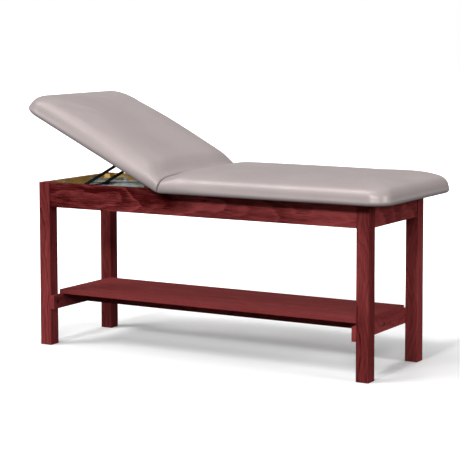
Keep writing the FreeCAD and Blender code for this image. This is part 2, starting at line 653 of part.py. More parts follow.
foot = [rod("foot_rod_bar", "foot_rod_radius", f"{FOOT_ROD_HALF} * 2", "-prop_long", f"-{FOOT_ROD_HALF}", "0",
            TURNS["rear"])]
for side, side_y in SIDES:
    inner = "front" if side_y > 0 else "rear"
    foot.append(rod(f"foot_collar_{side}", "foot_collar_radius", "foot_collar_wide", "-prop_long",
                    f"{side_y} * ({ARM_Y} - arm_wide / 2 - pin_fit)", "0", TURNS[inner]))
keep("prop_foot_rod", join("foot_rod_joined", foot), "prop")

# Guide shoes: a block in each channel that the foot rod turns in
SHOE_HALF_HIGH = "(guide_high / 2 - guide_wall - shoe_clearance)"
for side, side_y in SIDES:
    near = f"({GUIDE_OPEN_Y} + shoe_inset)"
    low_y = near if side_y > 0 else f"-{near} - shoe_wide"
    blank = block(f"shoe_blank_{side}", "shoe_long", "shoe_wide", f"{SHOE_HALF_HIGH} * 2",
                  "-shoe_long / 2", low_y, f"-{SHOE_HALF_HIGH}")
    bore = rod(f"shoe_bore_{side}", "foot_rod_radius + pin_fit", "shoe_wide + overrun * 2", "0",
               f"{low_y} - overrun", "0", TURNS["rear"])
    rounded = eased(f"shoe_rounded_{side}", blank, size["shoe_round"], Y_AXIS)
    keep(f"guide_shoe_{side}", cut(f"shoe_bored_{side}", rounded, [bore]), f"guide_shoe_{side}")

# Timber of the frame, with its straight edges eased and every drill taken out
for corner, side_x, side_y, turned in CORNERS:
    blank = block(f"leg_blank_{corner}", "leg_side", "leg_side", "frame_high",
                  f"{side_x} * ({HALF_LONG} - leg_side / 2) - leg_side / 2",
                  f"{side_y} * ({HALF_WIDE} - leg_side / 2) - leg_side / 2", "0")
    post = eased(f"leg_eased_{corner}", blank, size["edge_round"])
    keep(f"leg_{corner}", cut(f"leg_drilled_{corner}", post, drills[f"leg_{corner}"]))
BOARDS = [
    ("shelf_beam", f"({LEG_INNER_X} - rail_thick) * 2", "rail_thick", "rail_deep",
     f"rail_thick - {LEG_INNER_X}", "-rail_thick / 2", "rail_low", X_AXIS),
    ("shelf", f"{LEG_INNER_X} * 2", "shelf_wide", "shelf_thick",
     f"-{LEG_INNER_X}", "-shelf_wide / 2", SHELF_LOW, None),
]
for side, side_y in SIDES:
    low_y = f"{side_y} * ({APRON_INNER_Y} + apron_thick / 2) - apron_thick / 2"
    BOARDS.append((f"apron_{side}", f"{LEG_INNER_X} * 2", "apron_thick", "apron_deep",
                   f"-{LEG_INNER_X}", low_y, "frame_high - apron_deep", X_AXIS))
for end, side_x in ENDS:
    low_x = f"{side_x} * ({APRON_INNER_X} + apron_thick / 2) - apron_thick / 2"
    BOARDS.append((f"apron_{end}_end", "apron_thick", f"{LEG_INNER_Y} * 2", "apron_deep",
                   low_x, f"-{LEG_INNER_Y}", "frame_high - apron_deep", Y_AXIS))
    low_x = f"{side_x} * ({LEG_INNER_X} - rail_thick / 2) - rail_thick / 2"
    BOARDS.append((f"lower_rail_{end}", "rail_thick", "frame_wide", "rail_deep",
                   low_x, f"-{HALF_WIDE}", "rail_low", Y_AXIS))
for name, low_x, top in CROSS_RAILS:
    BOARDS.append((name, "cross_thick", f"{APRON_INNER_Y} * 2", "cross_deep",
                   low_x, f"-{APRON_INNER_Y}", f"{top} - cross_deep", Y_AXIS))
for name, long, wide, high, x, y, z, along in BOARDS:
    blank = block(f"{name}_blank", long, wide, high, x, y, z)
    plank = eased(f"{name}_eased", blank, size["edge_round"], along)
    keep(name, cut(f"{name}_drilled", plank, drills[name]))


# The upholstered top. Both sections are drawn with the hinge line at the left and the board's
# underside at zero; the backrest is the mirror image of such a section.
half_top = size["frame_wide"] / 2 + size["side_overhang"]
pad_shoulder = half_top * PAD_SHOULDER_SHARE


def plan_wire(long, inset, height):
    """One level of a section: straight at the hinge end, with round corners at the far end."""
    half = half_top - inset
    far = long - inset
    round_off = min(size["pad_corner"] + PAD_CORNER_GROWTH_SHARE * inset, half * PAD_CORNER_LIMIT_SHARE)
    middle = round_off * math.cos(math.radians(45))
    start, end = V(0, -half, height), V(0, half, height)
    low = V(far - round_off, -half, height), V(far, round_off - half, height)
    high = V(far, half - round_off, height), V(far - round_off, half, height)
    low_middle = V(far - round_off + middle, round_off - half - middle, height)
    high_middle = V(far - round_off + middle, half - round_off + middle, height)
    return Part.Wire([
        Part.LineSegment(start, low[0]).toShape(),
        Part.Arc(low[0], low_middle, low[1]).toShape(),
        Part.LineSegment(low[1], high[0]).toShape(),
        Part.Arc(high[0], high_middle, high[1]).toShape(),
        Part.LineSegment(high[1], end).toShape(),
        Part.LineSegment(end, start).toShape(),
    ])


def pad_form(long, depth):
    """The crowned form of a section, drawn in by a depth below its outer skin."""
    low, high = depth - size["pad_roll_drop"], size["pad_high"] - depth
    wires = [plan_wire(long, pad_shoulder * inset_share + depth, low + (high - low) * height_share)
             for height_share, inset_share in zip(PAD_HEIGHT_SHARES, PAD_INSET_SHARES)]
    return Part.makeLoft(wires, True, True)


def below(long, inset, level):
    """The space under a level, inside a line that lies an inset from the widest line."""
    half = half_top - inset
    low = -size["pad_roll_drop"] - size["overrun"]
    return Part.makeBox(long - inset + size["overrun"], half * 2, level - low,
                        V(-size["overrun"], -half, low))


def hinge_side(axis_low, angle, gap):
    """The space on the hinge's side of a plane that leans over the section, a gap off the hinge axis."""
    reach = size["frame_long"]
    space = Part.makeBox(reach, reach * 2, reach * 2, V(-reach, -reach, -reach))
    space.rotate(V(), Y_AXIS, angle)
    space.translate(V(gap / math.cos(math.radians(angle)), 0, -axis_low))
    return space


def pad_section(long, lift):
    """Board, foam, cover and squashed edge of one section, in that order."""
    skin, gap = size["vinyl_thick"], size["foam_gap"]
    roll, hem = size["pad_roll_wide"], size["pad_hem"]
    axis_low = size["hinge_drop"] + lift
    bevel = size["full_angle"] / 2 + size["bevel_spare_angle"]
    board = Part.Face(plan_wire(long, size["board_inset"], 0)).extrude(V(0, 0, size["board_thick"]))
    board = board.cut(hinge_side(axis_low, bevel, size["board_hinge_gap"]))
    form = pad_form(long, 0).cut([below(long, roll, -skin), below(long, roll + hem, 0),
                                  hinge_side(axis_low, 0, size["pad_end_gap"])])
    outer = form.cut(hinge_side(axis_low, bevel, size["pad_end_gap"]))
    cavity = pad_form(long, skin).cut([below(long, roll - skin, 0),
                                       hinge_side(axis_low, bevel, size["pad_end_gap"] + skin)])
    foam = pad_form(long, skin + gap).cut([below(long, roll - skin - gap, 0), board,
                                           hinge_side(axis_low, bevel, size["pad_end_gap"] + skin + gap)])
    cover = outer.cut(cavity)
    squashed = form.common(hinge_side(axis_low, bevel, size["pad_end_gap"]))
    squashed = squashed.cut([hinge_side(axis_low, size["rest_angle"] / 2, size["squash_gap"]),
                             below(long, roll + hem, skin)])
    return board, foam, cover, squashed


# Flat, the two sections reach over the frame's ends by the same overhang
half_long = size["frame_long"] / 2
SECTIONS = (
    ("leg_section", half_long + size["end_overhang"] + size["hinge_offset"], 0.0, "frame",
     V(-size["hinge_offset"], 0, size["frame_high"])),
    ("backrest", half_long + size["end_overhang"] - size["hinge_offset"], size["back_lift"], "backrest",
     V(0, 0, size["hinge_drop"] + size["back_lift"])),
)
for section, long, lift, rides, base in SECTIONS:
    for part, shape in zip(("board", "foam", "cover", "squashed_edge"), pad_section(long, lift)):
        if section == "backrest":
            shape = shape.mirror(V(), X_AXIS)
        shape.translate(base)
        name = f"{section}_{part}"
        piece = doc.addObject("Part::Feature", f"{name}_form")
        # A compound keeps the shape's own place under the piece's Placement
        piece.Shape = Part.makeCompound([shape])
        if part == "board":
            piece = cut(f"{name}_drilled", piece, drills[name])
        keep(name, piece, rides)

# Rest pose. The prop is as long as its upper pivot is far from the hinge, so it stands at twice the
# backrest's angle to it, and its foot stays on a straight line through the hinge axis.
rest, slope = math.radians(size["rest_angle"]), math.radians(size["guide_slope"])
pivot_angle = rest - math.asin(size["prop_pivot_drop"] / size["prop_long"])
hinge_axis = V(-size["hinge_offset"], 0, size["frame_high"] - size["hinge_drop"])
upper_pivot = hinge_axis + V(-math.cos(pivot_angle), 0, math.sin(pivot_angle)) * size["prop_long"]
foot_reach = 2 * size["prop_long"] * math.cos(pivot_angle + slope)
foot_pivot = hinge_axis - V(math.cos(slope), 0, math.sin(slope)) * foot_reach
arm_angle = math.degrees(pivot_angle + 2 * slope)
BODY_PLACES = {
    "frame": FreeCAD.Placement(),
    "backrest": FreeCAD.Placement(hinge_axis, FreeCAD.Rotation(Y_AXIS, size["rest_angle"])),
    "prop": FreeCAD.Placement(upper_pivot, FreeCAD.Rotation(Y_AXIS, -arm_angle)),
    "guide_shoe_front": FreeCAD.Placement(foot_pivot, slope_turn),
    "guide_shoe_rear": FreeCAD.Placement(foot_pivot, slope_turn),
}

# Every piece goes to its body's place, and then all are moved so that the origin lies on the floor
# under the middle of the whole table's box.
for name, piece, body in kept:
    piece.Placement = BODY_PLACES[body]
doc.recompute()
boxes = [piece.Shape.optimalBoundingBox(True, False) for name, piece, body in kept if "cover" in name]
shift = V(-(min(box.XMin for box in boxes) + max(box.XMax for box in boxes)) / 2, 0, 0)
for name, piece, body in kept:
    piece.Placement = FreeCAD.Placement(shift, FreeCAD.Rotation()) * BODY_PLACES[body]
doc.recompute()

# Tests, and the files
for item in doc.Objects:
    if "Invalid" in item.State or "Error" in item.State:
        raise RuntimeError(f"{item.Name} failed: {item.State}")
for name, piece, body in kept:
    if piece.Shape.isNull() or not piece.Shape.isValid():
        raise RuntimeError(f"{name} has no valid shape")
os.makedirs("parts", exist_ok=True)
for name, piece, body in kept:
    piece.Shape.exportStep(f"parts/{name}.step")
print("moved along X by", round(shift.x, 4))
for label, point in (("hinge axis", hinge_axis), ("upper pivot", upper_pivot), ("foot pivot", foot_pivot)):
    print(label, [round(value, 4) for value in point + shift])
print(len(kept), "pieces,", sum(len(piece.Shape.Solids) for name, piece, body in kept), "solids")
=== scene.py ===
"""Looks of a wooden treatment table with a lift-up backrest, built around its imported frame."""

import json
import logging
import math
from dataclasses import dataclass, field, replace
from enum import Enum

import bmesh
import bpy
import numpy as np
from mathutils import Matrix, Vector

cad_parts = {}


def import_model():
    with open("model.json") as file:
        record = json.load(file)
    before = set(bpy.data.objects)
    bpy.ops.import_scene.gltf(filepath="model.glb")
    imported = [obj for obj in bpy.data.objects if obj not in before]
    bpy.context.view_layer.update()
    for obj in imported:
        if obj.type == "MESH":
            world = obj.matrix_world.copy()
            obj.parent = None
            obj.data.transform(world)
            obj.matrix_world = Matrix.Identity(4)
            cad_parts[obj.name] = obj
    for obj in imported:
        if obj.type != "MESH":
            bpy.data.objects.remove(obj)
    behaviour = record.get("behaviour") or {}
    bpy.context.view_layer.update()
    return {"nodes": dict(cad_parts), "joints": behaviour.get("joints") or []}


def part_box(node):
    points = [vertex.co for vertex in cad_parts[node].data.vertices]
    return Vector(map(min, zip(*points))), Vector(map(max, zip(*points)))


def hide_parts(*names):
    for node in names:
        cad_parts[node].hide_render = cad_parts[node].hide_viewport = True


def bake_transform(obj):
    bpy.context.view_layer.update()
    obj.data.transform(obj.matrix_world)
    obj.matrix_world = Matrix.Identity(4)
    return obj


LOG = logging.getLogger("treatment_table")
MM = 0.001
BACK_LIFT = 0.0003
WELD_REACH = 2e-5
FILLING = {"quality": 5, "mass": 0.3, "tension_stiffness": 25, "compression_stiffness": 25,
           "bending_stiffness": 2, "use_pressure": True, "uniform_pressure_force": 4.0}

Colour = tuple[float, float, float, float]
Triple = tuple[float, float, float]
Socket = bpy.types.NodeSocket
Groups = dict[str, bpy.types.NodeTree]
Nodes = dict[str, bpy.types.Object]


class Axis(Enum):
    """A direction of the frame, with its place in a point."""

    X = 0
    Y = 1
    Z = 2


class Side(Enum):
    """The two ends of the top, by the way that a pad runs from the hinge."""

    LEG = 1
    BACK = -1


Limit = tuple[Axis, float, float]


def srgb(red: float, green: float, blue: float) -> Colour:
    """Turns a colour written in 0 to 255 steps into linear light.

    Args:
        red: Red step.
        green: Green step.
        blue: Blue step.

    Returns:
        The linear colour with full alpha.
    """
    shares = np.array([red, green, blue]) / 255
    linear = np.where(shares <= 0.04045, shares / 12.92, ((shares + 0.055) / 1.055) ** 2.4)
    return (*(float(value) for value in linear), 1.0)


class Graph:
    """A node tree with short ways to add and join nodes."""

    def __init__(self, tree: bpy.types.NodeTree) -> None:
        """Takes the tree to draw in."""
        self.tree = tree

    def add(self, kind: str, settings: dict | None = None, **inputs: object) -> bpy.types.Node:
        """Adds a node.

        Args:
            kind: Blender's name of the node type.
            settings: Properties of the node itself.
            inputs: Values or output sockets by input name, with _ for a space.

        Returns:
            The new node.
        """
        node = self.tree.nodes.new(kind)
        for name, value in (settings or {}).items():
            setattr(node, name, value)
        for name, value in inputs.items():
            self.feed(node.inputs[name.replace("_", " ")], value)
        return node

    def feed(self, socket: Socket, value: object) -> None:
        """Links an output socket to an input, or sets the input's value.

        Args:
            socket: The input.
            value: The output socket or the value.
        """
        if isinstance(value, Socket):
            self.tree.links.new(value, socket)
        else:
            socket.default_value = value

    def math(self, operation: str, *values: object, clamp: bool = False) -> Socket:
        """Adds a Math node.

        Args:
            operation: The node's operation.
            values: One to three numbers or sockets.
            clamp: Whether the result stays between 0 and 1.

        Returns:
            The result's socket.
        """
        node = self.tree.nodes.new("ShaderNodeMath")
        node.operation = operation
        node.use_clamp = clamp
        for socket, value in zip(node.inputs, values):
            self.feed(socket, value)
        return node.outputs[0]

    def weighed(self, value: object, weight: object, base: object = 0.0, clamp: bool = False) -> Socket:
        """Adds a value times a weight to a base.

        Args:
            value: Number or socket.
            weight: Number or socket.
            base: Number or socket.
            clamp: Whether the result stays between 0 and 1.

        Returns:
            The result's socket.
        """
        return self.math("MULTIPLY_ADD", value, weight, base, clamp=clamp)

    def span(self, value: object, low: float, high: float, start: float = 0.0, end: float = 1.0) -> Socket:
        """Maps a value smoothly from one span to another.

        Args:
            value: The socket to map.
            low: Where the span starts.
            high: Where the span ends.
            start: The result at or before low.
            end: The result at or past high.

        Returns:
            The mapped value's socket.
        """
        node = self.add("ShaderNodeMapRange", {"interpolation_type": "SMOOTHSTEP"}, Value=value,
                        From_Min=low, From_Max=high, To_Min=start, To_Max=end)
        return node.outputs["Result"]

    def mix(self, share: object, first: object, second: object) -> Socket:
        """Mixes two colours.

        Args:
            share: How much of the second colour.
            first: Colour or socket.
            second: Colour or socket.

        Returns:
            The mixed colour's socket.
        """
        node = self.tree.nodes.new("ShaderNodeMix")
        node.data_type = "RGBA"
        for socket, value in ((node.inputs[0], share), (node.inputs[6], first), (node.inputs[7], second)):
            self.feed(socket, value)
        return node.outputs[2]

    def noise(self, vector: object, scale: float, detail: float = 2.0, roughness: float = 0.5) -> Socket:
        """Adds a noise texture.

        Args:
            vector: Where it is read.
            scale: Features per metre.
            detail: Octaves.
            roughness: Strength of the finer octaves.

        Returns:
            The noise value's socket.
        """
        node = self.add("ShaderNodeTexNoise", None, Vector=vector, Scale=scale, Detail=detail,
                        Roughness=roughness)
        return node.outputs["Fac"]

    def stretched(self, vector: object, scale: Triple) -> Socket:
        """Scales a position by axis.

        Args:
            vector: The position's socket.
            scale: Factor for each axis.

        Returns:
            The scaled position's socket.
        """
        node = self.add("ShaderNodeVectorMath", {"operation": "MULTIPLY"})
        self.feed(node.inputs[0], vector)
        self.feed(node.inputs[1], scale)
        return node.outputs[0]


def new_group(name: str, inputs: dict[str, object], outputs: tuple[str, ...]) -> tuple[
        bpy.types.NodeTree, Graph, bpy.types.Node, bpy.types.Node]:
    """Starts a shader node group.

    Args:
        name: The group's name.
        inputs: Default value by input name; a triple makes a vector input.
        outputs: Names of its value outputs.

    Returns:
        The tree, its graph, its input node and its output node.
    """
    tree = bpy.data.node_groups.new(name, "ShaderNodeTree")
    for label, value in inputs.items():
        kind = "NodeSocketVector" if isinstance(value, tuple) else "NodeSocketFloat"
        tree.interface.new_socket(label, in_out="INPUT", socket_type=kind).default_value = value
    for label in outputs:
        tree.interface.new_socket(label, in_out="OUTPUT", socket_type="NodeSocketFloat")
    return tree, Graph(tree), tree.nodes.new("NodeGroupInput"), tree.nodes.new("NodeGroupOutput")


def wood_figure_group() -> bpy.types.NodeTree:
    """Growth rings, fibres and tone of a board whose grain runs along X and whose face looks along Z.

    The rings are circles about a heart line under the face. The line sinks along the board by the taper
    and wanders with two slow noises, so that a flat-cut face shows nested arches. A ring's number is the
    distance from the line divided by the ring gap. Each ring darkens towards its late wood by a power of
    the number's fraction, and the number's whole part picks how strongly. Fibres are a noise drawn out
    along the grain, and pores are short dashes of it.

    Returns:
        The group.
    """
    tree, graph, take, give = new_group(
        "wood_figure",
        {"Vector": (0.0, 0.0, 0.0), "Ring Gap": 0.007, "Heart Depth": 0.04, "Heart Offset": 0.0,
         "Taper": 0.0, "Wander": 0.03},
        ("Rings", "Fibres", "Tone", "Pores"))
    where, wander = take.outputs["Vector"], take.outputs["Wander"]
    slow = graph.noise(graph.stretched(where, (1.0, 1.5, 1.5)), scale=2.4)
    shift = graph.noise(graph.stretched(where, (1.0, 0.6, 0.6)), scale=3.1)
    fine = graph.noise(graph.stretched(where, (1.0, 7.0, 7.0)), scale=9.0, detail=4.0, roughness=0.6)
    parts = graph.add("ShaderNodeSeparateXYZ", None, Vector=where)
    sunk = graph.weighed(parts.outputs["X"], take.outputs["Taper"], take.outputs["Heart Depth"])
    depth = graph.weighed(graph.math("SUBTRACT", slow, 0.5), graph.weighed(wander, 4.0),
                          graph.math("ADD", parts.outputs["Z"], sunk))
    sideways = graph.weighed(graph.math("SUBTRACT", shift, 0.5), graph.weighed(wander, 3.0),
                             graph.math("ADD", parts.outputs["Y"], take.outputs["Heart Offset"]))
    radius = graph.math("SQRT", graph.math("ADD", graph.math("POWER", depth, 2.0),
                                           graph.math("POWER", sideways, 2.0)))
    radius = graph.weighed(graph.math("SUBTRACT", fine, 0.5), 0.009, radius)
    number = graph.math("DIVIDE", radius, take.outputs["Ring Gap"])
    luck = graph.add("ShaderNodeTexWhiteNoise", {"noise_dimensions": "1D"}, W=graph.math("FLOOR", number))
    turn = graph.math("FRACT", number)
    rings = graph.math("MULTIPLY", graph.math("POWER", turn, 2.2), graph.span(turn, 0.84, 1.0, 1.0, 0.0))
    rings = graph.math("MULTIPLY", rings, graph.weighed(luck.outputs["Value"], 0.7, 0.3))
    fibres = graph.noise(graph.stretched(where, (1.0, 30.0, 30.0)), scale=14.0, detail=4.0, roughness=0.65)
    dashes = graph.noise(graph.stretched(where, (1.0, 32.0, 32.0)), scale=40.0, detail=1.0)
    tone = graph.noise(graph.stretched(where, (1.0, 7.0, 7.0)), scale=2.2)
    graph.feed(give.inputs["Pores"], graph.span(dashes, 0.6, 0.72))
    graph.feed(give.inputs["Rings"], rings)
    graph.feed(give.inputs["Fibres"], fibres)
    graph.feed(give.inputs["Tone"], tone)
    return tree


def wear_group() -> bpy.types.NodeTree:
    """Handling marks: a soft cloud for the sheen and sparse specks of dust, both from noise.

    Returns:
        The group.
    """
    tree, graph, take, give = new_group("wear", {"Vector": (0.0, 0.0, 0.0), "Scale": 6.0},
                                        ("Cloud", "Specks"))
    cloud = graph.noise(take.outputs["Vector"], scale=take.outputs["Scale"], detail=4.0, roughness=0.6)
    specks = graph.noise(take.outputs["Vector"], scale=420.0, detail=2.0, roughness=0.7)
    graph.feed(give.inputs["Cloud"], graph.span(cloud, 0.35, 0.65))
    graph.feed(give.inputs["Specks"], graph.span(specks, 0.66, 0.74))
    return tree


def vinyl_grain_group() -> bpy.types.NodeTree:
    """Pressed leather-like grain: small rounded cells about a millimetre wide with fine creases between.

    Returns:
        The group.
    """
    tree, graph, take, give = new_group("vinyl_grain", {"Vector": (0.0, 0.0, 0.0), "Cells": 900.0},
                                        ("Height", "Crease"))
    bent = graph.noise(take.outputs["Vector"], scale=240.0)
    moved = graph.add("ShaderNodeVectorMath", {"operation": "MULTIPLY_ADD"})
    for socket, value in zip(moved.inputs, (bent, (0.0012, 0.0012, 0.0012), take.outputs["Vector"])):
        graph.feed(socket, value)
    cells = graph.add("ShaderNodeTexVoronoi", {"feature": "DISTANCE_TO_EDGE"}, Vector=moved.outputs[0],
                      Scale=take.outputs["Cells"])
    height = graph.span(cells.outputs["Distance"], 0.0, 0.28)
    graph.feed(give.inputs["Height"], height)
    graph.feed(give.inputs["Crease"], graph.math("SUBTRACT", 1.0, height))
    return tree


@dataclass(frozen=True)
class Finish:
    """A finish that makes one material; its groups are shared by all.

    The bump is the share of the relief that shows, and the relief's depth in metres.
    """

    name: str
    groups: Groups
    bump: tuple[float, float] = (0.3, 0.0001)

    def start(self) -> tuple[bpy.types.Material, Graph, bpy.types.Node, Socket]:
        """Starts the material.

        Returns:
            The material, its graph, its Principled BSDF and the Object coordinates.
        """
        material = bpy.data.materials.new(self.name)
        material.use_nodes = True
        tree = material.node_tree
        place = tree.nodes.new("ShaderNodeTexCoord")
        return material, Graph(tree), tree.nodes["Principled BSDF"], place.outputs["Object"]

    def group(self, graph: Graph, kind: str, **inputs: object) -> bpy.types.Node:
        """Places a shared group.

        Args:
            graph: Where it goes.
            kind: The group's name.
            inputs: Its values by input name, with _ for a space.

        Returns:
            The group's node.
        """
        return graph.add("ShaderNodeGroup", {"node_tree": self.groups[kind]}, **inputs)

    def relief(self, graph: Graph, shader: bpy.types.Node, height: Socket) -> None:
        """Bumps the shader's normal.

        Args:
            graph: The material's graph.
            shader: Its Principled BSDF.
            height: The height's socket.
        """
        strength, depth = self.bump
        bump = graph.add("ShaderNodeBump", None, Strength=strength, Distance=depth, Height=height)
        graph.feed(shader.inputs["Normal"], bump.outputs["Normal"])


@dataclass(frozen=True)
class Board:
    """How a board lies: the axes of its grain, width and thickness, its middle and its bare faces."""

    along: Axis
    across: Axis
    through: Axis
    middle: Vector
    seed: float
    bare: tuple[Limit, ...] = ()


@dataclass(frozen=True)
class Cut:
    """How a board was cut from its log, in metres, and how its figure shows."""

    heart_depth: float = 0.12
    heart_offset: float = 0.06
    taper: float = 0.0
    wander: float = 0.02
    ring_gap: float = 0.008
    contrast: float = 0.5
    # tone share towards the dark colour; for some boards it also carries painted light and shade
    shade: float = 0.34
    drift: float = 0.0


@dataclass(frozen=True)
class Timber(Finish):
    """Stained or bare hardwood, drawn for one board."""

    bump: tuple[float, float] = (0.35, 0.0004)
    board: Board | None = None
    cut: Cut = Cut()
    stained: bool = True
    light: Colour = srgb(150, 66, 66)
    dark: Colour = srgb(62, 10, 11)
    bare_light: Colour = srgb(244, 212, 134)
    bare_dark: Colour = srgb(204, 164, 90)
    ring_mark: float = 1.1
    fibre_mark: float = 0.35
    tone_mark: float = 0.3
    pore_mark: float = 0.5
    stain_edge: tuple[float, float] = (-0.0012, -0.0004)
    rough: float = 0.6
    specular: float = 0.005

    def build(self) -> bpy.types.Material:
        """Draws the board's figure, its stain, and the bare wood of the faces inside the frame.

        Returns:
            The material.
        """
        material, graph, shader, place = self.start()
        board, cut = self.board, self.cut
        parts = graph.add("ShaderNodeSeparateXYZ", None, Vector=place).outputs
        ordered = graph.add("ShaderNodeCombineXYZ")
        for socket, axis in zip(ordered.inputs, (board.along, board.across, board.through)):
            offset = board.middle[axis.value] - (board.seed if axis is board.along else 0.0)
            graph.feed(socket, graph.math("SUBTRACT", parts[axis.value], offset))
        figure = self.group(graph, "wood_figure", Vector=ordered.outputs[0], Ring_Gap=cut.ring_gap,
                            Heart_Depth=cut.heart_depth, Heart_Offset=cut.heart_offset, Taper=cut.taper,
                            Wander=cut.wander)
        cloud = self.group(graph, "wear", Vector=place, Scale=5.0).outputs["Cloud"]
        rings, fibres, tone, pores = figure.outputs
        along = board.along.value
        from_middle = graph.math("SUBTRACT", parts[along], board.middle[along])
        drift = graph.weighed(from_middle, -cut.drift, cut.shade)
        marks = graph.weighed(rings, self.ring_mark,
                              graph.span(fibres, 0.3, 0.7, -self.fibre_mark, self.fibre_mark))
        marks = graph.math("ADD", marks, graph.span(tone, 0.3, 0.7, -self.tone_mark, self.tone_mark))
        marks = graph.weighed(pores, self.pore_mark, marks)
        shade = graph.weighed(marks, cut.contrast, drift, clamp=True)
        colour = graph.mix(shade, self.light, self.dark)
        bare = graph.mix(shade, self.bare_light, self.bare_dark)
        if not self.stained:
            colour = bare
        elif board.bare:
            mask = None
            for axis, level, sign in board.bare:
                past = graph.math("MULTIPLY", graph.math("SUBTRACT", parts[axis.value], level), sign)
                edge = graph.span(past, *self.stain_edge)
                mask = edge if mask is None else graph.math("MULTIPLY", mask, edge)
            colour = graph.mix(mask, colour, bare)
        graph.feed(shader.inputs["Base Color"], colour)
        rough = graph.weighed(cloud, 0.08, graph.weighed(rings, 0.1, self.rough))
        graph.feed(shader.inputs["Roughness"], rough)
        shader.inputs["Specular IOR Level"].default_value = self.specular
        self.relief(graph, shader, graph.weighed(rings, -0.6, graph.weighed(fibres, -0.8)))
        return material


@dataclass(frozen=True)
class Plywood(Finish):
    """Birch plywood: a pale rotary-cut face, with the glue lines of its plies on the edges."""

    bump: tuple[float, float] = (0.3, 0.0003)
    bottom: float = 0.0
    turned: float = 0.0
    hinge: Vector = field(default_factory=Vector)
    ply: float = 0.0018
    face: Colour = srgb(214, 184, 138)
    late: Colour = srgb(176, 138, 88)
    glue: Colour = srgb(120, 84, 50)
    glue_share: float = 0.45
    rough: float = 0.6

    def build(self) -> bpy.types.Material:
        """Draws the plies as a stepped height above the board's underside.

        Returns:
            The material.
        """
        material, graph, shader, place = self.start()
        flat = graph.add("ShaderNodeVectorRotate", {"rotation_type": "Y_AXIS"}, Vector=place,
                         Center=tuple(self.hinge), Angle=self.turned).outputs[0]
        parts = graph.add("ShaderNodeSeparateXYZ", None, Vector=flat)
        level = graph.math("SUBTRACT", parts.outputs["Z"], self.bottom)
        step = graph.math("FRACT", graph.math("DIVIDE", level, self.ply * 2))
        figure = self.group(graph, "wood_figure", Vector=flat, Ring_Gap=0.012, Heart_Depth=0.09,
                            Heart_Offset=0.05, Taper=0.1, Wander=0.06)
        fibres = figure.outputs["Fibres"]
        grain = graph.weighed(figure.outputs["Rings"], 0.5, graph.weighed(fibres, 0.4), clamp=True)
        colour = graph.mix(grain, self.face, self.late)
        colour = graph.mix(graph.span(step, 0.46, 0.5, 0.0, self.glue_share), colour, self.glue)
        graph.feed(shader.inputs["Base Color"], colour)
        graph.feed(shader.inputs["Roughness"], graph.weighed(grain, 0.1, self.rough))
        self.relief(graph, shader, fibres)
        return material


@dataclass(frozen=True)
class Metal(Finish):
    """Steel: bright zinc plate or black paint, dulled where it is handled."""

    bump: tuple[float, float] = (0.25, 0.00006)
    colour: Colour = srgb(200, 208, 206)
    worn: Colour = srgb(160, 168, 168)
    metallic: float = 0.8
    specular: float = 0.5
    rough: float = 0.4
    grain: float = 30.0

    def build(self) -> bpy.types.Material:
        """Draws the plate's soft mottling and fine scratches.

        Returns:
            The material.
        """
        material, graph, shader, place = self.start()
        cloud, specks = self.group(graph, "wear", Vector=place, Scale=self.grain).outputs
        scratch = graph.noise(graph.stretched(place, (30.0, 30.0, 900.0)), scale=1.0, detail=3.0)
        share = graph.weighed(cloud, 0.7, graph.weighed(specks, 0.3), clamp=True)
        graph.feed(shader.inputs["Base Color"], graph.mix(share, self.colour, self.worn))
        shader.inputs["Metallic"].default_value = self.metallic
        shader.inputs["Specular IOR Level"].default_value = self.specular
        graph.feed(shader.inputs["Roughness"], graph.weighed(cloud, 0.15, self.rough))
        self.relief(graph, shader, scratch)
        return material


@dataclass(frozen=True)
class Plastic(Finish):
    """Black slippery plastic of the guide shoes, with a faint moulded texture."""

    colour: Colour = srgb(34, 35, 36)
    worn: Colour = srgb(48, 49, 50)
    rough: float = 0.42

    def build(self) -> bpy.types.Material:
        """Draws the texture.

        Returns:
            The material.
        """
        material, graph, shader, place = self.start()
        cloud, specks = self.group(graph, "wear", Vector=place, Scale=60.0).outputs
        graph.feed(shader.inputs["Base Color"], graph.mix(cloud, self.colour, self.worn))
        graph.feed(shader.inputs["Roughness"], graph.weighed(cloud, 0.1, self.rough))
        self.relief(graph, shader, specks)
        return material


@dataclass(frozen=True)
class Vinyl(Finish):
    """Pearly grey upholstery vinyl: soft sheen, pressed grain, faint unevenness of tone."""

    bump: tuple[float, float] = (0.2, 0.00008)
    colour: Colour = srgb(167, 157, 156)
    worn: Colour = srgb(162, 152, 151)
    # colour of the painted shade that darkens the grain's creases
    crease: Colour = srgb(120, 110, 108)
    crease_shade_share: float = 0.2
    rough: float = 0.38
    metallic: float = 0.24
    specular: float = 0.0

    def build(self) -> bpy.types.Material:
        """Draws the grain, with painted shade darkening its creases, and the tone.

        Returns:
            The material.
        """
        material, graph, shader, place = self.start()
        height, crease = self.group(graph, "vinyl_grain", Vector=place, Cells=850.0).outputs
        cloud = self.group(graph, "wear", Vector=place, Scale=3.0).outputs["Cloud"]
        colour = graph.mix(cloud, self.colour, self.worn)
        # painted shade: the grain's creases are darkened towards the crease colour
        colour = graph.mix(graph.weighed(crease, self.crease_shade_share), colour, self.crease)
        graph.feed(shader.inputs["Base Color"], colour)
        rough = graph.weighed(cloud, 0.04, graph.weighed(crease, 0.06, self.rough))
        graph.feed(shader.inputs["Roughness"], rough)
        shader.inputs["Metallic"].default_value = self.metallic
        shader.inputs["Specular IOR Level"].default_value = self.specular
        self.relief(graph, shader, height)
        return material


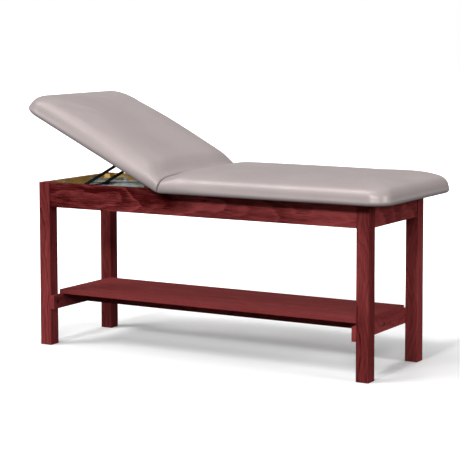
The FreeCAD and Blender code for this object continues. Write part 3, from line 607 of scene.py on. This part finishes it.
@dataclass(frozen=True)
class Foam(Finish):
    """Pale open-cell foam, hidden in the pads."""

    bump: tuple[float, float] = (0.5, 0.0006)
    colour: Colour = srgb(236, 226, 190)
    shade: Colour = srgb(212, 198, 150)
    rough: float = 0.95

    def build(self) -> bpy.types.Material:
        """Draws its cells.

        Returns:
            The material.
        """
        material, graph, shader, place = self.start()
        cells = graph.noise(place, scale=700.0, detail=3.0, roughness=0.7)
        graph.feed(shader.inputs["Base Color"], graph.mix(cells, self.colour, self.shade))
        shader.inputs["Roughness"].default_value = self.rough
        self.relief(graph, shader, cells)
        return material


def dress(piece: bpy.types.Object, material: bpy.types.Material) -> None:
    """Gives a piece one material.

    Args:
        piece: The piece.
        material: Its material.
    """
    piece.data.materials.clear()
    piece.data.materials.append(material)
    LOG.info("%s: %s", piece.name, material.name)


def make_mesh(name: str, points: np.ndarray, faces: np.ndarray) -> bpy.types.Object:
    """Makes a smooth-shaded object of four-sided faces.

    Args:
        name: The piece's name.
        points: Points, one row each, in metres.
        faces: Four point numbers to each face.

    Returns:
        The object, in the scene.
    """
    mesh = bpy.data.meshes.new(name)
    mesh.vertices.add(len(points))
    mesh.vertices.foreach_set("co", points.astype(np.float32).ravel())
    mesh.loops.add(faces.size)
    mesh.loops.foreach_set("vertex_index", faces.astype(np.int32).ravel())
    mesh.polygons.add(len(faces))
    mesh.polygons.foreach_set("loop_start", np.arange(0, faces.size, 4, dtype=np.int32))
    mesh.polygons.foreach_set("use_smooth", np.ones(len(faces), bool))
    mesh.update(calc_edges=True)
    mesh.validate()
    piece = bpy.data.objects.new(name, mesh)
    bpy.context.scene.collection.objects.link(piece)
    return piece


def mesh_points(mesh: bpy.types.Mesh) -> np.ndarray:
    """The points of a mesh, one row each.

    Args:
        mesh: The mesh.

    Returns:
        The points in single precision, as the mesh keeps them.
    """
    points = np.empty(len(mesh.vertices) * 3, np.float32)
    mesh.vertices.foreach_get("co", points)
    return points.reshape(-1, 3)


def weld(piece: bpy.types.Object) -> None:
    """Merges the points that patches share and turns all faces outwards.

    Args:
        piece: The piece, which stays smooth-shaded.
    """
    mesh = bmesh.new()
    mesh.from_mesh(piece.data)
    bmesh.ops.remove_doubles(mesh, verts=mesh.verts, dist=WELD_REACH)
    bmesh.ops.recalc_face_normals(mesh, faces=mesh.faces)
    mesh.to_mesh(piece.data)
    mesh.free()
    piece.data.polygons.foreach_set("use_smooth", np.ones(len(piece.data.polygons), bool))


def grid_faces(rows: int, columns: int, first: int = 0) -> np.ndarray:
    """Faces of a grid of points, numbered row by row.

    Args:
        rows: Rows of points.
        columns: Points in a row.
        first: Number of the grid's first point.

    Returns:
        Four point numbers to each face.
    """
    row, column = np.meshgrid(np.arange(rows - 1), np.arange(columns - 1), indexing="ij")
    corner = (first + row * columns + column).ravel()
    return np.stack([corner, corner + 1, corner + columns + 1, corner + columns], axis=1)


def smooth_step(share: np.ndarray) -> np.ndarray:
    """Three times the square less twice the cube, which rises from 0 to 1 with level ends."""
    return share * share * (3 - 2 * share)


def smooth_through(stations: np.ndarray, share: np.ndarray) -> np.ndarray:
    """A smooth curve through points: a Catmull-Rom spline whose parameter is the length of the chords.

    Args:
        stations: The points, one row each.
        share: How far along the curve each wanted point lies, from 0 to 1.

    Returns:
        The wanted points.
    """
    chord = np.concatenate([[0.0], np.cumsum(np.linalg.norm(np.diff(stations, axis=0), axis=1))])
    where = share * chord[-1]
    slope = np.gradient(stations, chord, axis=0)
    index = np.clip(np.searchsorted(chord, where, side="right") - 1, 0, len(chord) - 2)
    width = (chord[index + 1] - chord[index])[:, None]
    step = ((where - chord[index])[:, None]) / width
    square, cube = step ** 2, step ** 3
    return ((2 * cube - 3 * square + 1) * stations[index] + (cube - 2 * square + step) * width * slope[index]
            + (3 * square - 2 * cube) * stations[index + 1] + (cube - square) * width * slope[index + 1])


@dataclass
class PadForm:
    """Sizes of one pad's form, with the hinge line at X 0 and the board's underside at Z 0, in metres."""

    length: float
    half_width: float
    crown: float
    lean: float
    axis_low: float
    roll_drop: float
    fill: float
    bulge_share: float = 0.0
    bulge_skew: float = 1.4
    valley_share: float = 0.33
    valley_reach: float = 0.085
    soft_from: float = 0.02
    shoulder_share: float = 0.6
    corner: float = 0.075
    corner_growth: float = 0.1
    corner_limit: float = 0.95
    end_round: float = 0.009
    end_gap: float = 0.0002
    board_inset: float = 0.022
    board_top: float = 0.0137
    loose_rise: float = 0.022
    loose_start: float = 0.004
    loose_reach: float = 0.05
    cell: float = 0.014
    height_shares: tuple[float, ...] = (0.04, 0.14, 0.285, 0.455, 0.62, 0.75, 0.845, 0.92, 0.972, 1.0)
    inset_shares: tuple[float, ...] = (0.017, 0.0, 0.0, 0.013, 0.047, 0.106, 0.204, 0.383, 0.638, 1.0)
    under: tuple[tuple[float, float], ...] = ((0.058, -0.12), (0.047, -0.14), (0.039, -0.35),
                                              (0.031, -0.85), (0.021, -1.0), (0.0105, -0.96))
    profile_cells: int = 34
    profile_skew: float = 1.15
    arc_cells: int = 7
    round_cells: int = 6
    cap_cells: int = 5

    def profile(self) -> np.ndarray:
        """Inset and height of each level, from the hem's edge under the board to the crown.

        Returns:
            One row a level.
        """
        shoulder = self.half_width * self.shoulder_share
        high = self.crown + self.roll_drop
        stations = [(inset, drop_share * self.roll_drop) for inset, drop_share in self.under]
        stations += [(shoulder * inset, high * height - self.roll_drop)
                     for height, inset in zip(self.height_shares, self.inset_shares)]
        share = np.linspace(0, 1, self.profile_cells + 1)
        return smooth_through(np.array(stations), share ** self.profile_skew)

    def end_plane(self, height: np.ndarray) -> np.ndarray:
        """X of the plane in which the two pads meet, which leans over the section from the hinge axis.

        Args:
            height: Heights above the board's underside.

        Returns:
            X at each height.
        """
        return (height + self.axis_low) * math.tan(self.lean) + self.end_gap

    def across_cells(self) -> int:
        """How many cells cross the far end between its corners: an even number."""
        return max(2, round((self.half_width - self.corner) * 2 / self.cell / 2) * 2)

    def ring(self, inset: np.ndarray, height: np.ndarray, normal: np.ndarray) -> np.ndarray:
        """One U-shaped line round the pad for each level.

        From the hinge end along the front, half round the first corner, across the far end, and back
        along the rear. Corners are quarter circles that grow with the inset. The first columns follow
        a quarter circle into the end plane: at a distance from the plane, the skin lies lower by the
        round's radius less the height of the circle there.

        Args:
            inset: How far in each level lies.
            height: How high it lies.
            normal: The profile's outward direction at each level, as sideways and up.

        Returns:
            Levels by points by three.
        """
        half = self.half_width - inset
        far = self.length - inset
        radius = np.minimum(self.corner + self.corner_growth * inset, half * self.corner_limit)
        turns = np.linspace(0, math.pi / 2, self.round_cells + 1)
        out = self.end_round * (1 - np.cos(turns))
        sunk = self.end_round * (1 - np.sin(turns))
        start = self.end_plane(height)
        straight = max(4, round((self.length - self.corner) / self.cell))
        steps = np.linspace(0, 1, straight + 1)[1:]
        near_x = start[:, None] + out[None, :]
        run_x = near_x[:, -1:] + (far - radius)[:, None] * steps - near_x[:, -1:] * steps
        x = np.concatenate([near_x, run_x], axis=1)
        y = np.repeat(-half[:, None], x.shape[1], axis=1)
        z = np.repeat(height[:, None], x.shape[1], axis=1)
        y[:, :len(out)] += sunk * normal[:, :1]
        z[:, :len(out)] -= sunk * normal[:, 1:]
        angles = np.linspace(0, math.pi / 2, 2 * self.arc_cells + 1)[1:]
        arc_x = (far - radius)[:, None] + radius[:, None] * np.sin(angles)
        arc_y = -(half - radius)[:, None] - radius[:, None] * np.cos(angles)
        arc_z = np.repeat(height[:, None], len(angles), axis=1)
        spans = np.linspace(-1, 1, self.across_cells() + 1)[1:-1]
        end = np.stack([np.repeat(far[:, None], len(spans), axis=1), (half - radius)[:, None] * spans,
                        np.repeat(height[:, None], len(spans), axis=1)], axis=2)
        front = np.stack([np.concatenate(pair, axis=1) for pair in ((x, arc_x), (y, arc_y), (z, arc_z))],
                         axis=2)
        rear = front[:, ::-1] * np.array([1, -1, 1])
        return np.concatenate([front, end, rear], axis=1)

    def build(self) -> tuple[np.ndarray, np.ndarray]:
        """The whole skin: the band round the sides, the crown's patch and the face at the hinge.

        The crown's patch is a Coons patch: the blend of its four edges less the blend of its corners.
        The end face runs straight from the skin's edge to a line over the board's end.

        Returns:
            Points and faces.
        """
        levels = self.profile()
        inset, height = levels[:, 0], levels[:, 1]
        along = np.gradient(levels, axis=0)
        along /= np.linalg.norm(along, axis=1)[:, None]
        normal = np.stack([along[:, 1], along[:, 0]], axis=1)
        band = self.ring(inset, height, normal)
        count, width = band.shape[:2]
        front_cells = (width - 1 - self.across_cells()) // 2 - self.arc_cells
        last = band[-1]
        front = last[:front_cells + 1]
        end = last[front_cells:width - front_cells]
        rear = last[width - front_cells - 1:][::-1]
        share = np.linspace(0, 1, len(end))
        hinge = front[0] + (rear[0] - front[0]) * share[:, None]
        length = (front[:, 0] - front[0, 0]) / (front[-1, 0] - front[0, 0])
        u, v = length[:, None, None], share[None, :, None]
        patch = ((1 - v) * front[:, None] + v * rear[:, None] + (1 - u) * hinge[None] + u * end[None]
                 - (1 - u) * (1 - v) * front[0] - (1 - u) * v * rear[0]
                 - u * (1 - v) * end[0] - u * v * end[-1])
        outline = np.concatenate([band[:, 0], hinge[1:-1], band[::-1, -1]])
        down = np.linspace(0, 1, self.cap_cells + 1)[:, None, None]
        reach = self.half_width - self.board_inset
        board_y = np.clip(outline[:, 1], -reach, reach)
        target = np.stack([np.zeros_like(board_y), board_y, np.full_like(board_y, self.board_top)], axis=1)
        cap = outline[None] * (1 - down) + target[None] * down
        cap[:, :, 0] = self.end_plane(cap[:, :, 2])
        points = np.concatenate([part.reshape(-1, 3) for part in (band, patch, cap)])
        faces = np.concatenate([
            grid_faces(count, width), grid_faces(len(front), len(end), count * width),
            grid_faces(self.cap_cells + 1, len(outline), count * width + len(front) * len(end))])
        return self.pillowed(points), faces

    def pillowed(self, points: np.ndarray) -> np.ndarray:
        """Sinks the skin towards the crease and lets it rise along the pad, in proportion to its height.

        With t the distance from the crease over the valley's reach, held between 0 and 1, the skin sinks by
        the valley's share times one less the smooth step of t. With s the share of the length raised to the
        skew, it rises by the bulge's share times 4 s (1 - s).

        Args:
            points: The skin's points.

        Returns:
            The points, as far from the plane of the crease as before.
        """
        away = points[:, 0] - self.end_plane(points[:, 2])
        near = np.clip(away / self.valley_reach, 0, 1)
        along = np.clip(away / self.length, 0, 1) ** self.bulge_skew
        rise = 4 * self.bulge_share * along * (1 - along) - self.valley_share * (1 - smooth_step(near))
        height = points[:, 2] + np.maximum(points[:, 2] - self.soft_from, 0) * rise
        return np.stack([away + self.end_plane(height), points[:, 1], height], axis=1)

    def looseness(self, points: np.ndarray) -> np.ndarray:
        """How far the filling may press each point out: nothing under the pad and at the hinge's plane.

        Args:
            points: The skin's points.

        Returns:
            A share for each point, which rises smoothly with the distance from what holds the skin.
        """
        up = np.clip((points[:, 2] + self.roll_drop * 0.5) / self.loose_rise, 0, 1)
        away = points[:, 0] - self.end_plane(points[:, 2]) - self.loose_start
        return smooth_step(up) * smooth_step(np.clip(away / self.loose_reach, 0, 1))


@dataclass
class Pad:
    """One section's cover: its form, swollen by its filling, and fastened under its board."""

    section: str
    side: Side
    form: PadForm
    hinge: Vector
    angle: float
    material: bpy.types.Material
    frames: int = 20
    thickness: float = 0.0012
    blend_reach: float = 0.055

    def placed(self, points: np.ndarray) -> np.ndarray:
        """Brings points from the section's own layout to the table, turned about the hinge.

        Args:
            points: Points with the hinge line at X 0 and the board's underside at Z 0.

        Returns:
            Points in the frame.
        """
        x = points[:, 0] * self.side.value
        z = points[:, 2] + self.form.axis_low
        sine, cosine = math.sin(self.angle), math.cos(self.angle)
        return np.stack([self.hinge.x + x * cosine + z * sine, points[:, 1],
                         self.hinge.z - x * sine + z * cosine], axis=1)

    def unplaced(self, points: np.ndarray) -> np.ndarray:
        """Brings points from the frame back to the section's own layout.

        Args:
            points: Points in the frame.

        Returns:
            Points with the hinge line at X 0 and the board's underside at Z 0.
        """
        x, z = points[:, 0] - self.hinge.x, points[:, 2] - self.hinge.z
        sine, cosine = math.sin(self.angle), math.cos(self.angle)
        along, up = x * cosine - z * sine, x * sine + z * cosine
        return np.stack([along * self.side.value, points[:, 1], up - self.form.axis_low], axis=1)

    def swollen(self, skin: bpy.types.Object) -> None:
        """Presses the skin out with a cloth simulation and caps how far each point moves.

        A point moves along its way in the simulation by its limit times the hyperbolic tangent of the
        way's length over the limit. The limit is the fill times how loose the point is.

        Args:
            skin: The skin, which keeps its faces.
        """
        rest = mesh_points(skin.data)
        loose = self.form.looseness(self.unplaced(rest.astype(float)))
        held = skin.vertex_groups.new(name="held")
        levels = np.round(1 - loose, 2)
        for level in np.unique(levels):
            held.add(np.flatnonzero(levels == level).tolist(), float(level), "REPLACE")
        cloth = skin.modifiers.new("filling", "CLOTH")
        for name, value in FILLING.items():
            setattr(cloth.settings, name, value)
        cloth.settings.effector_weights.gravity = 0
        cloth.settings.vertex_group_mass = held.name
        cloth.point_cache.frame_start = 1
        cloth.point_cache.frame_end = self.frames
        scene = bpy.context.scene
        for number in range(1, self.frames + 1):
            scene.frame_set(number)
        moved = mesh_points(skin.evaluated_get(bpy.context.evaluated_depsgraph_get()).data)
        skin.modifiers.clear()
        skin.vertex_groups.clear()
        scene.frame_set(1)
        step = moved - rest
        far = np.linalg.norm(step, axis=1)
        limit = self.form.fill * loose
        scale = np.where(far > 0, limit * np.tanh(far / np.maximum(limit, 1e-6)) / np.maximum(far, 1e-9), 0)
        LOG.info("%s swells by %.1f mm at most", self.section, float((far * scale).max() / MM))
        rest += step * scale[:, None]
        skin.data.vertices.foreach_set("co", rest.ravel())

    def build(self) -> bpy.types.Object:
        """Makes the cover, bends it at the hinge and puts it in the place of the section's soft solids.

        Returns:
            The cover.
        """
        points, faces = self.form.build()
        if self.side is Side.LEG:
            faces = faces[:, ::-1]
        skin = make_mesh(f"{self.section}_pad", self.placed(points), faces)
        weld(skin)
        self.swollen(skin)
        smooth = skin.modifiers.new("smooth", "SUBSURF")
        smooth.levels = smooth.render_levels = 1
        wall = skin.modifiers.new("vinyl", "SOLIDIFY")
        wall.thickness = self.thickness
        wall.offset = -1
        dress(skin, self.material)
        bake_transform(skin)
        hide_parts(*(f"{self.section}_{part}" for part in ("cover", "foam", "squashed_edge")))
        LOG.info("%s: %d faces", skin.name, len(skin.data.polygons))
        return skin

    def normal(self) -> Vector:
        """The direction from the leg section to the backrest, square to the plane in which they meet."""
        return Vector((-math.cos(self.form.lean), 0, math.sin(self.form.lean)))


@dataclass
class Upholstery:
    """The two pads and what they have in common."""

    nodes: Nodes
    hinge: Vector
    rest: float
    material: bpy.types.Material
    spare: float = 0.003
    leg_fill: float = 0.004
    back_fill: float = 0.007
    back_bulge: float = 0.33

    def build(self) -> None:
        """Measures the frame's soft solids and builds both pads in their place."""
        cover_low, cover_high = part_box("leg_section_cover")
        board_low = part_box("leg_section_board")[0]
        drop = board_low.z - self.hinge.z
        leg_length = cover_high.x - self.hinge.x
        for section, side, length, lift, angle, fill, bulge in (
                ("leg_section", Side.LEG, leg_length, 0.0, 0.0, self.leg_fill, 0.0),
                ("backrest", Side.BACK, self.back_length(), BACK_LIFT, self.rest, self.back_fill,
                 self.back_bulge)):
            form = PadForm(length=length, half_width=cover_high.y,
                           crown=cover_high.z - board_low.z - self.spare, lean=self.rest / 2,
                           axis_low=drop + lift, roll_drop=board_low.z - cover_low.z, fill=fill,
                           bulge_share=bulge)
            Pad(section, side, form, self.hinge, angle, self.material).build()

    def back_length(self) -> float:
        """Length of the backrest from the hinge axis, from how far its cover reaches.

        Returns:
            The length along the backrest.
        """
        points = mesh_points(self.nodes["backrest_cover"].data).astype(float)
        along = ((points[:, 2] - self.hinge.z) * math.sin(self.rest)
                 - (points[:, 0] - self.hinge.x) * math.cos(self.rest))
        return float(along.max())


@dataclass
class Carpentry:
    """The wooden pieces of the frame, each drawn as a board of its own."""

    nodes: Nodes
    groups: Groups
    stained_top: float = 0.002
    # tone of each leg in sorted order: partly its board's own, partly painted light and shade that evens out
    # how much light each leg gets
    leg_tones_with_painted_light: tuple[float, ...] = (0.34, 0.5, 0.34, 0.2)

    def board(self, name: str, axes: tuple[Axis, Axis, Axis], seed: float,
              bare: tuple[Limit, ...] = ()) -> Board:
        """Describes a board by its node's box.

        Args:
            name: The node's name.
            axes: Axes of its grain, its width and its thickness.
            seed: Where along the log it was cut.
            bare: Limits of its unstained part: axis, level, and 1 or -1 for the side past the level.

        Returns:
            The board.
        """
        low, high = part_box(name)
        return Board(*axes, (low + high) / 2, seed, bare)

    def build(self) -> None:
        """Dresses every board."""
        x, y, z = Axis.X, Axis.Y, Axis.Z
        front, rear = (y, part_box("apron_front")[1].y, 1), (y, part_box("apron_rear")[0].y, -1)
        left, right = (x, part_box("apron_left_end")[1].x, 1), (x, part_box("apron_right_end")[0].x, -1)
        above = (z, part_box("apron_front")[0].z, 1)
        arched = Cut(heart_depth=0.05, heart_offset=0.008, taper=0.05, wander=0.016, ring_gap=0.01,
                     contrast=-0.9, shade=0.84)
        straight = Cut(heart_depth=0.06, heart_offset=0.03, taper=0.04, wander=0.02)
        stained = [
            ("apron_front", (x, z, y), 3.1, (front,), replace(arched, shade=0.82, drift=0.58)),
            ("apron_rear", (x, z, y), 8.7, (rear,), arched),
            ("apron_left_end", (y, z, x), 5.2, (left,), arched),
            # the right end apron's lighter tone is partly its board's own and partly painted light on this
            # end face
            ("apron_right_end", (y, z, x), 6.4, (right,),
             replace(arched, taper=-0.12, heart_depth=0.04, ring_gap=0.016, shade=0.5)),
            ("shelf", (x, y, z), 1.3, (), Cut(heart_depth=0.25, contrast=0.2, shade=0.37)),
            ("shelf_beam", (x, z, y), 2.2, (), straight),
            ("lower_rail_left", (y, z, x), 4.4, (), straight),
            # the right lower rail's lighter tone is partly its board's own and partly painted light
            ("lower_rail_right", (y, z, x), 7.7, (), replace(straight, shade=0.18)),
        ]
        legs = sorted(name for name in self.nodes if name.startswith("leg_") and "section" not in name)
        for number, name in enumerate(legs):
            low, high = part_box(name)
            bare = (left if low.x < 0 else right, front if low.y < 0 else rear, above,
                    (z, high.z - self.stained_top, -1))
            # painted light and shade: the leg's tone also makes up for how the lamps light it
            cut = Cut(heart_depth=0.1 - 0.02 * number, heart_offset=0.05 + 0.01 * number, taper=0.02,
                      shade=self.leg_tones_with_painted_light[number])
            stained.append((name, (z, x, y), 2.0 + number * 3.3, bare, cut))
        for name, axes, seed, bare, cut in stained:
            board = self.board(name, axes, seed, bare)
            dress(self.nodes[name], Timber(f"stained_{name}", self.groups, board=board, cut=cut).build())
        for name, axes, seed in (("hinge_cross_rail", (y, z, x), 1.7), ("guide_cross_rail", (y, z, x), 2.7),
                                 ("cross_rail_dowels", (y, x, z), 0.4), ("shelf_dowels", (y, x, z), 0.4)):
            board = self.board(name, axes, seed)
            dress(self.nodes[name], Timber(f"bare_{name}", self.groups, board=board, stained=False).build())


@dataclass
class Ironwork:
    """Hinge, prop, guides, brackets and fastenings."""

    nodes: Nodes
    groups: Groups

    def build(self) -> None:
        """Dresses every steel, plastic and foam node by the start of its name."""
        zinc = Metal("zinc_plate", self.groups).build()
        black = Metal("black_steel", self.groups, colour=srgb(10, 10, 11), worn=srgb(24, 23, 22),
                      metallic=0.0, specular=0.08, rough=0.45, grain=18.0).build()
        bolt = Metal("black_bolt", self.groups, colour=srgb(30, 30, 31), worn=srgb(52, 50, 48), metallic=0.6,
                     rough=0.35, grain=40.0).build()
        plastic = Plastic("guide_plastic", self.groups).build()
        foam = Foam("foam", self.groups).build()
        by_start = (
            (zinc, ("corner_", "angle_bracket", "hinge_leaf", "hinge_pin", "hinge_screws", "prop_guide",
                    "prop_bracket_screws")),
            (black, ("prop_",)),
            (plastic, ("guide_shoe",)),
            (bolt, ("rail_bolts", "beam_bolts")),
            (foam, ("leg_section_foam", "backrest_foam")),
        )
        for name, node in self.nodes.items():
            found = next((material for material, starts in by_start if name.startswith(starts)), None)
            if found is not None:
                dress(node, found)


@dataclass(frozen=True)
class Lamp:
    """A broad, far lamp: how wide it looks in degrees, and where it stands, seen from the table."""

    name: str
    strength: float
    angle: float
    direction: Triple

    def build(self) -> None:
        """Adds the lamp."""
        data = bpy.data.lights.new(self.name, "SUN")
        data.energy = self.strength
        data.angle = math.radians(self.angle)
        lamp = bpy.data.objects.new(self.name, data)
        lamp.rotation_mode = "QUATERNION"
        lamp.rotation_quaternion = Vector(self.direction).to_track_quat("Z", "Y")
        bpy.context.scene.collection.objects.link(lamp)


@dataclass
class Studio:
    """Floor, lamps, background and the camera of the photograph."""

    azimuth: float = 0.53357
    distance: float = 7.15705
    sideways: float = 0.01522
    height: float = 1.46382
    pitch: float = 0.09347
    roll: float = -0.002333
    focal_share: float = 1672.45 / 460
    rise_share: float = -60 / 460
    sensor: float = 36.0
    frame_middle: float = -0.0397822
    dome: float = 0.13
    lamps: tuple[Lamp, ...] = (
        Lamp("key", 1.5, 26, (-0.45, -0.45, 0.77)), Lamp("front", 1.4, 6, (0.0, -0.89, 0.46)),
        Lamp("side", 0.9, 12, (0.4, -0.8, 0.44)), Lamp("end", 1.1, 20, (1.0, -0.05, 0.32)),
        Lamp("rear", 0.3, 40, (0.0, 0.64, 0.77)), Lamp("top", 0.45, 20, (0.0, -0.15, 0.98)))
    floor_half: float = 30.0
    floor_colour: Colour = (0.1, 0.1, 0.1, 1)
    floor_seen: Colour = (0.9, 0.9, 0.9, 1)
    floor_rough: float = 0.9
    floor_specular: float = 0.1
    glow_from: tuple[float, float] = (0.9, 0.14)
    glow_to: tuple[float, float] = (2.4, 0.8)

    def camera(self) -> None:
        """Stands the camera on a circle round the frame's middle and shifts its view down."""
        sine, cosine = math.sin(self.azimuth), math.cos(self.azimuth)
        ahead = Vector((-sine, cosine, 0))
        right = Vector((cosine, sine, 0))
        place = (-ahead * self.distance + right * self.sideways
                 + Vector((self.frame_middle, 0, self.height)))
        forward = ahead * math.cos(self.pitch) - Vector((0, 0, math.sin(self.pitch)))
        up = right.cross(forward)
        turned_right = right * math.cos(self.roll) + up * math.sin(self.roll)
        turned_up = up * math.cos(self.roll) - right * math.sin(self.roll)
        data = bpy.data.cameras.new("camera")
        data.sensor_width = self.sensor
        data.lens = self.focal_share * self.sensor
        data.shift_y = self.rise_share
        camera = bpy.data.objects.new("camera", data)
        columns = (turned_right, turned_up, -forward, place)
        camera.matrix_world = Matrix((*([column[row] for column in columns] for row in range(3)),
                                      (0, 0, 0, 1)))
        bpy.context.scene.collection.objects.link(camera)
        bpy.context.scene.camera = camera

    def world(self) -> None:
        """A plain grey dome that the camera, mirrors and glass see as white."""
        world = bpy.data.worlds.new("studio")
        world.use_nodes = True
        tree = world.node_tree
        graph = Graph(tree)
        background = tree.nodes["Background"]
        path = graph.add("ShaderNodeLightPath").outputs
        seen = graph.math("MAXIMUM", path["Is Camera Ray"], graph.math(
            "MAXIMUM", path["Is Glossy Ray"], path["Is Transmission Ray"]))
        background.inputs["Color"].default_value = (1, 1, 1, 1)
        graph.feed(background.inputs["Strength"], graph.weighed(seen, 1 - self.dome, self.dome))
        bpy.context.scene.world = world

    def floor(self) -> None:
        """A pale floor that takes the table's shadow and turns plain white away from it."""
        half = self.floor_half
        points = np.array([[-half, -half, 0], [half, -half, 0], [half, half, 0], [-half, half, 0]], float)
        floor = make_mesh("floor", points, np.array([[0, 1, 2, 3]]))
        material = bpy.data.materials.new("floor")
        material.use_nodes = True
        graph = Graph(material.node_tree)
        shader = material.node_tree.nodes["Principled BSDF"]
        length = graph.add("ShaderNodeVectorMath", {"operation": "LENGTH"})
        graph.feed(length.inputs[0], graph.add("ShaderNodeTexCoord").outputs["Object"])
        path = graph.add("ShaderNodeLightPath").outputs["Is Camera Ray"]
        (near, least), (far, most) = self.glow_from, self.glow_to
        glow = graph.math("MULTIPLY", graph.span(length.outputs["Value"], near, far, least, most), path)
        graph.feed(shader.inputs["Base Color"], graph.mix(path, self.floor_colour, self.floor_seen))
        shader.inputs["Roughness"].default_value = self.floor_rough
        shader.inputs["Specular IOR Level"].default_value = self.floor_specular
        shader.inputs["Emission Color"].default_value = (1, 1, 1, 1)
        graph.feed(shader.inputs["Emission Strength"], glow)
        floor.data.materials.append(material)

    def build(self) -> None:
        """Sets up camera, lamps, background and floor."""
        bpy.context.scene.view_settings.view_transform = "Standard"
        self.camera()
        for lamp in self.lamps:
            lamp.build()
        self.world()
        self.floor()


def main() -> None:
    """Dresses the frame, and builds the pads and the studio."""
    logging.basicConfig(level=logging.INFO, format="%(name)s: %(message)s")
    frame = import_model()
    nodes = frame["nodes"]
    groups = {tree.name: tree for tree in (wood_figure_group(), wear_group(), vinyl_grain_group())}
    low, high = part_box("hinge_pin")
    hinge = (low + high) / 2
    hinge.y = 0
    joint = next(item for item in frame["joints"] if item["name"] == "backrest_hinge")
    rest = math.radians(-joint["range_deg"][0])
    Carpentry(nodes, groups).build()
    Ironwork(nodes, groups).build()
    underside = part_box("leg_section_board")[0].z
    for section, turned, lift in (("leg_section", 0.0, 0.0), ("backrest", -rest, BACK_LIFT)):
        plywood = Plywood(f"plywood_{section}", groups, bottom=underside + lift, turned=turned, hinge=hinge)
        dress(nodes[f"{section}_board"], plywood.build())
    vinyl = Vinyl("grey_vinyl", groups).build()
    Upholstery(nodes, hinge, rest, vinyl).build()
    Studio().build()
    for section in ("leg_section", "backrest"):
        for part in ("cover", "squashed_edge"):
            dress(nodes[f"{section}_{part}"], vinyl)


if __name__ == "__main__":
    main()
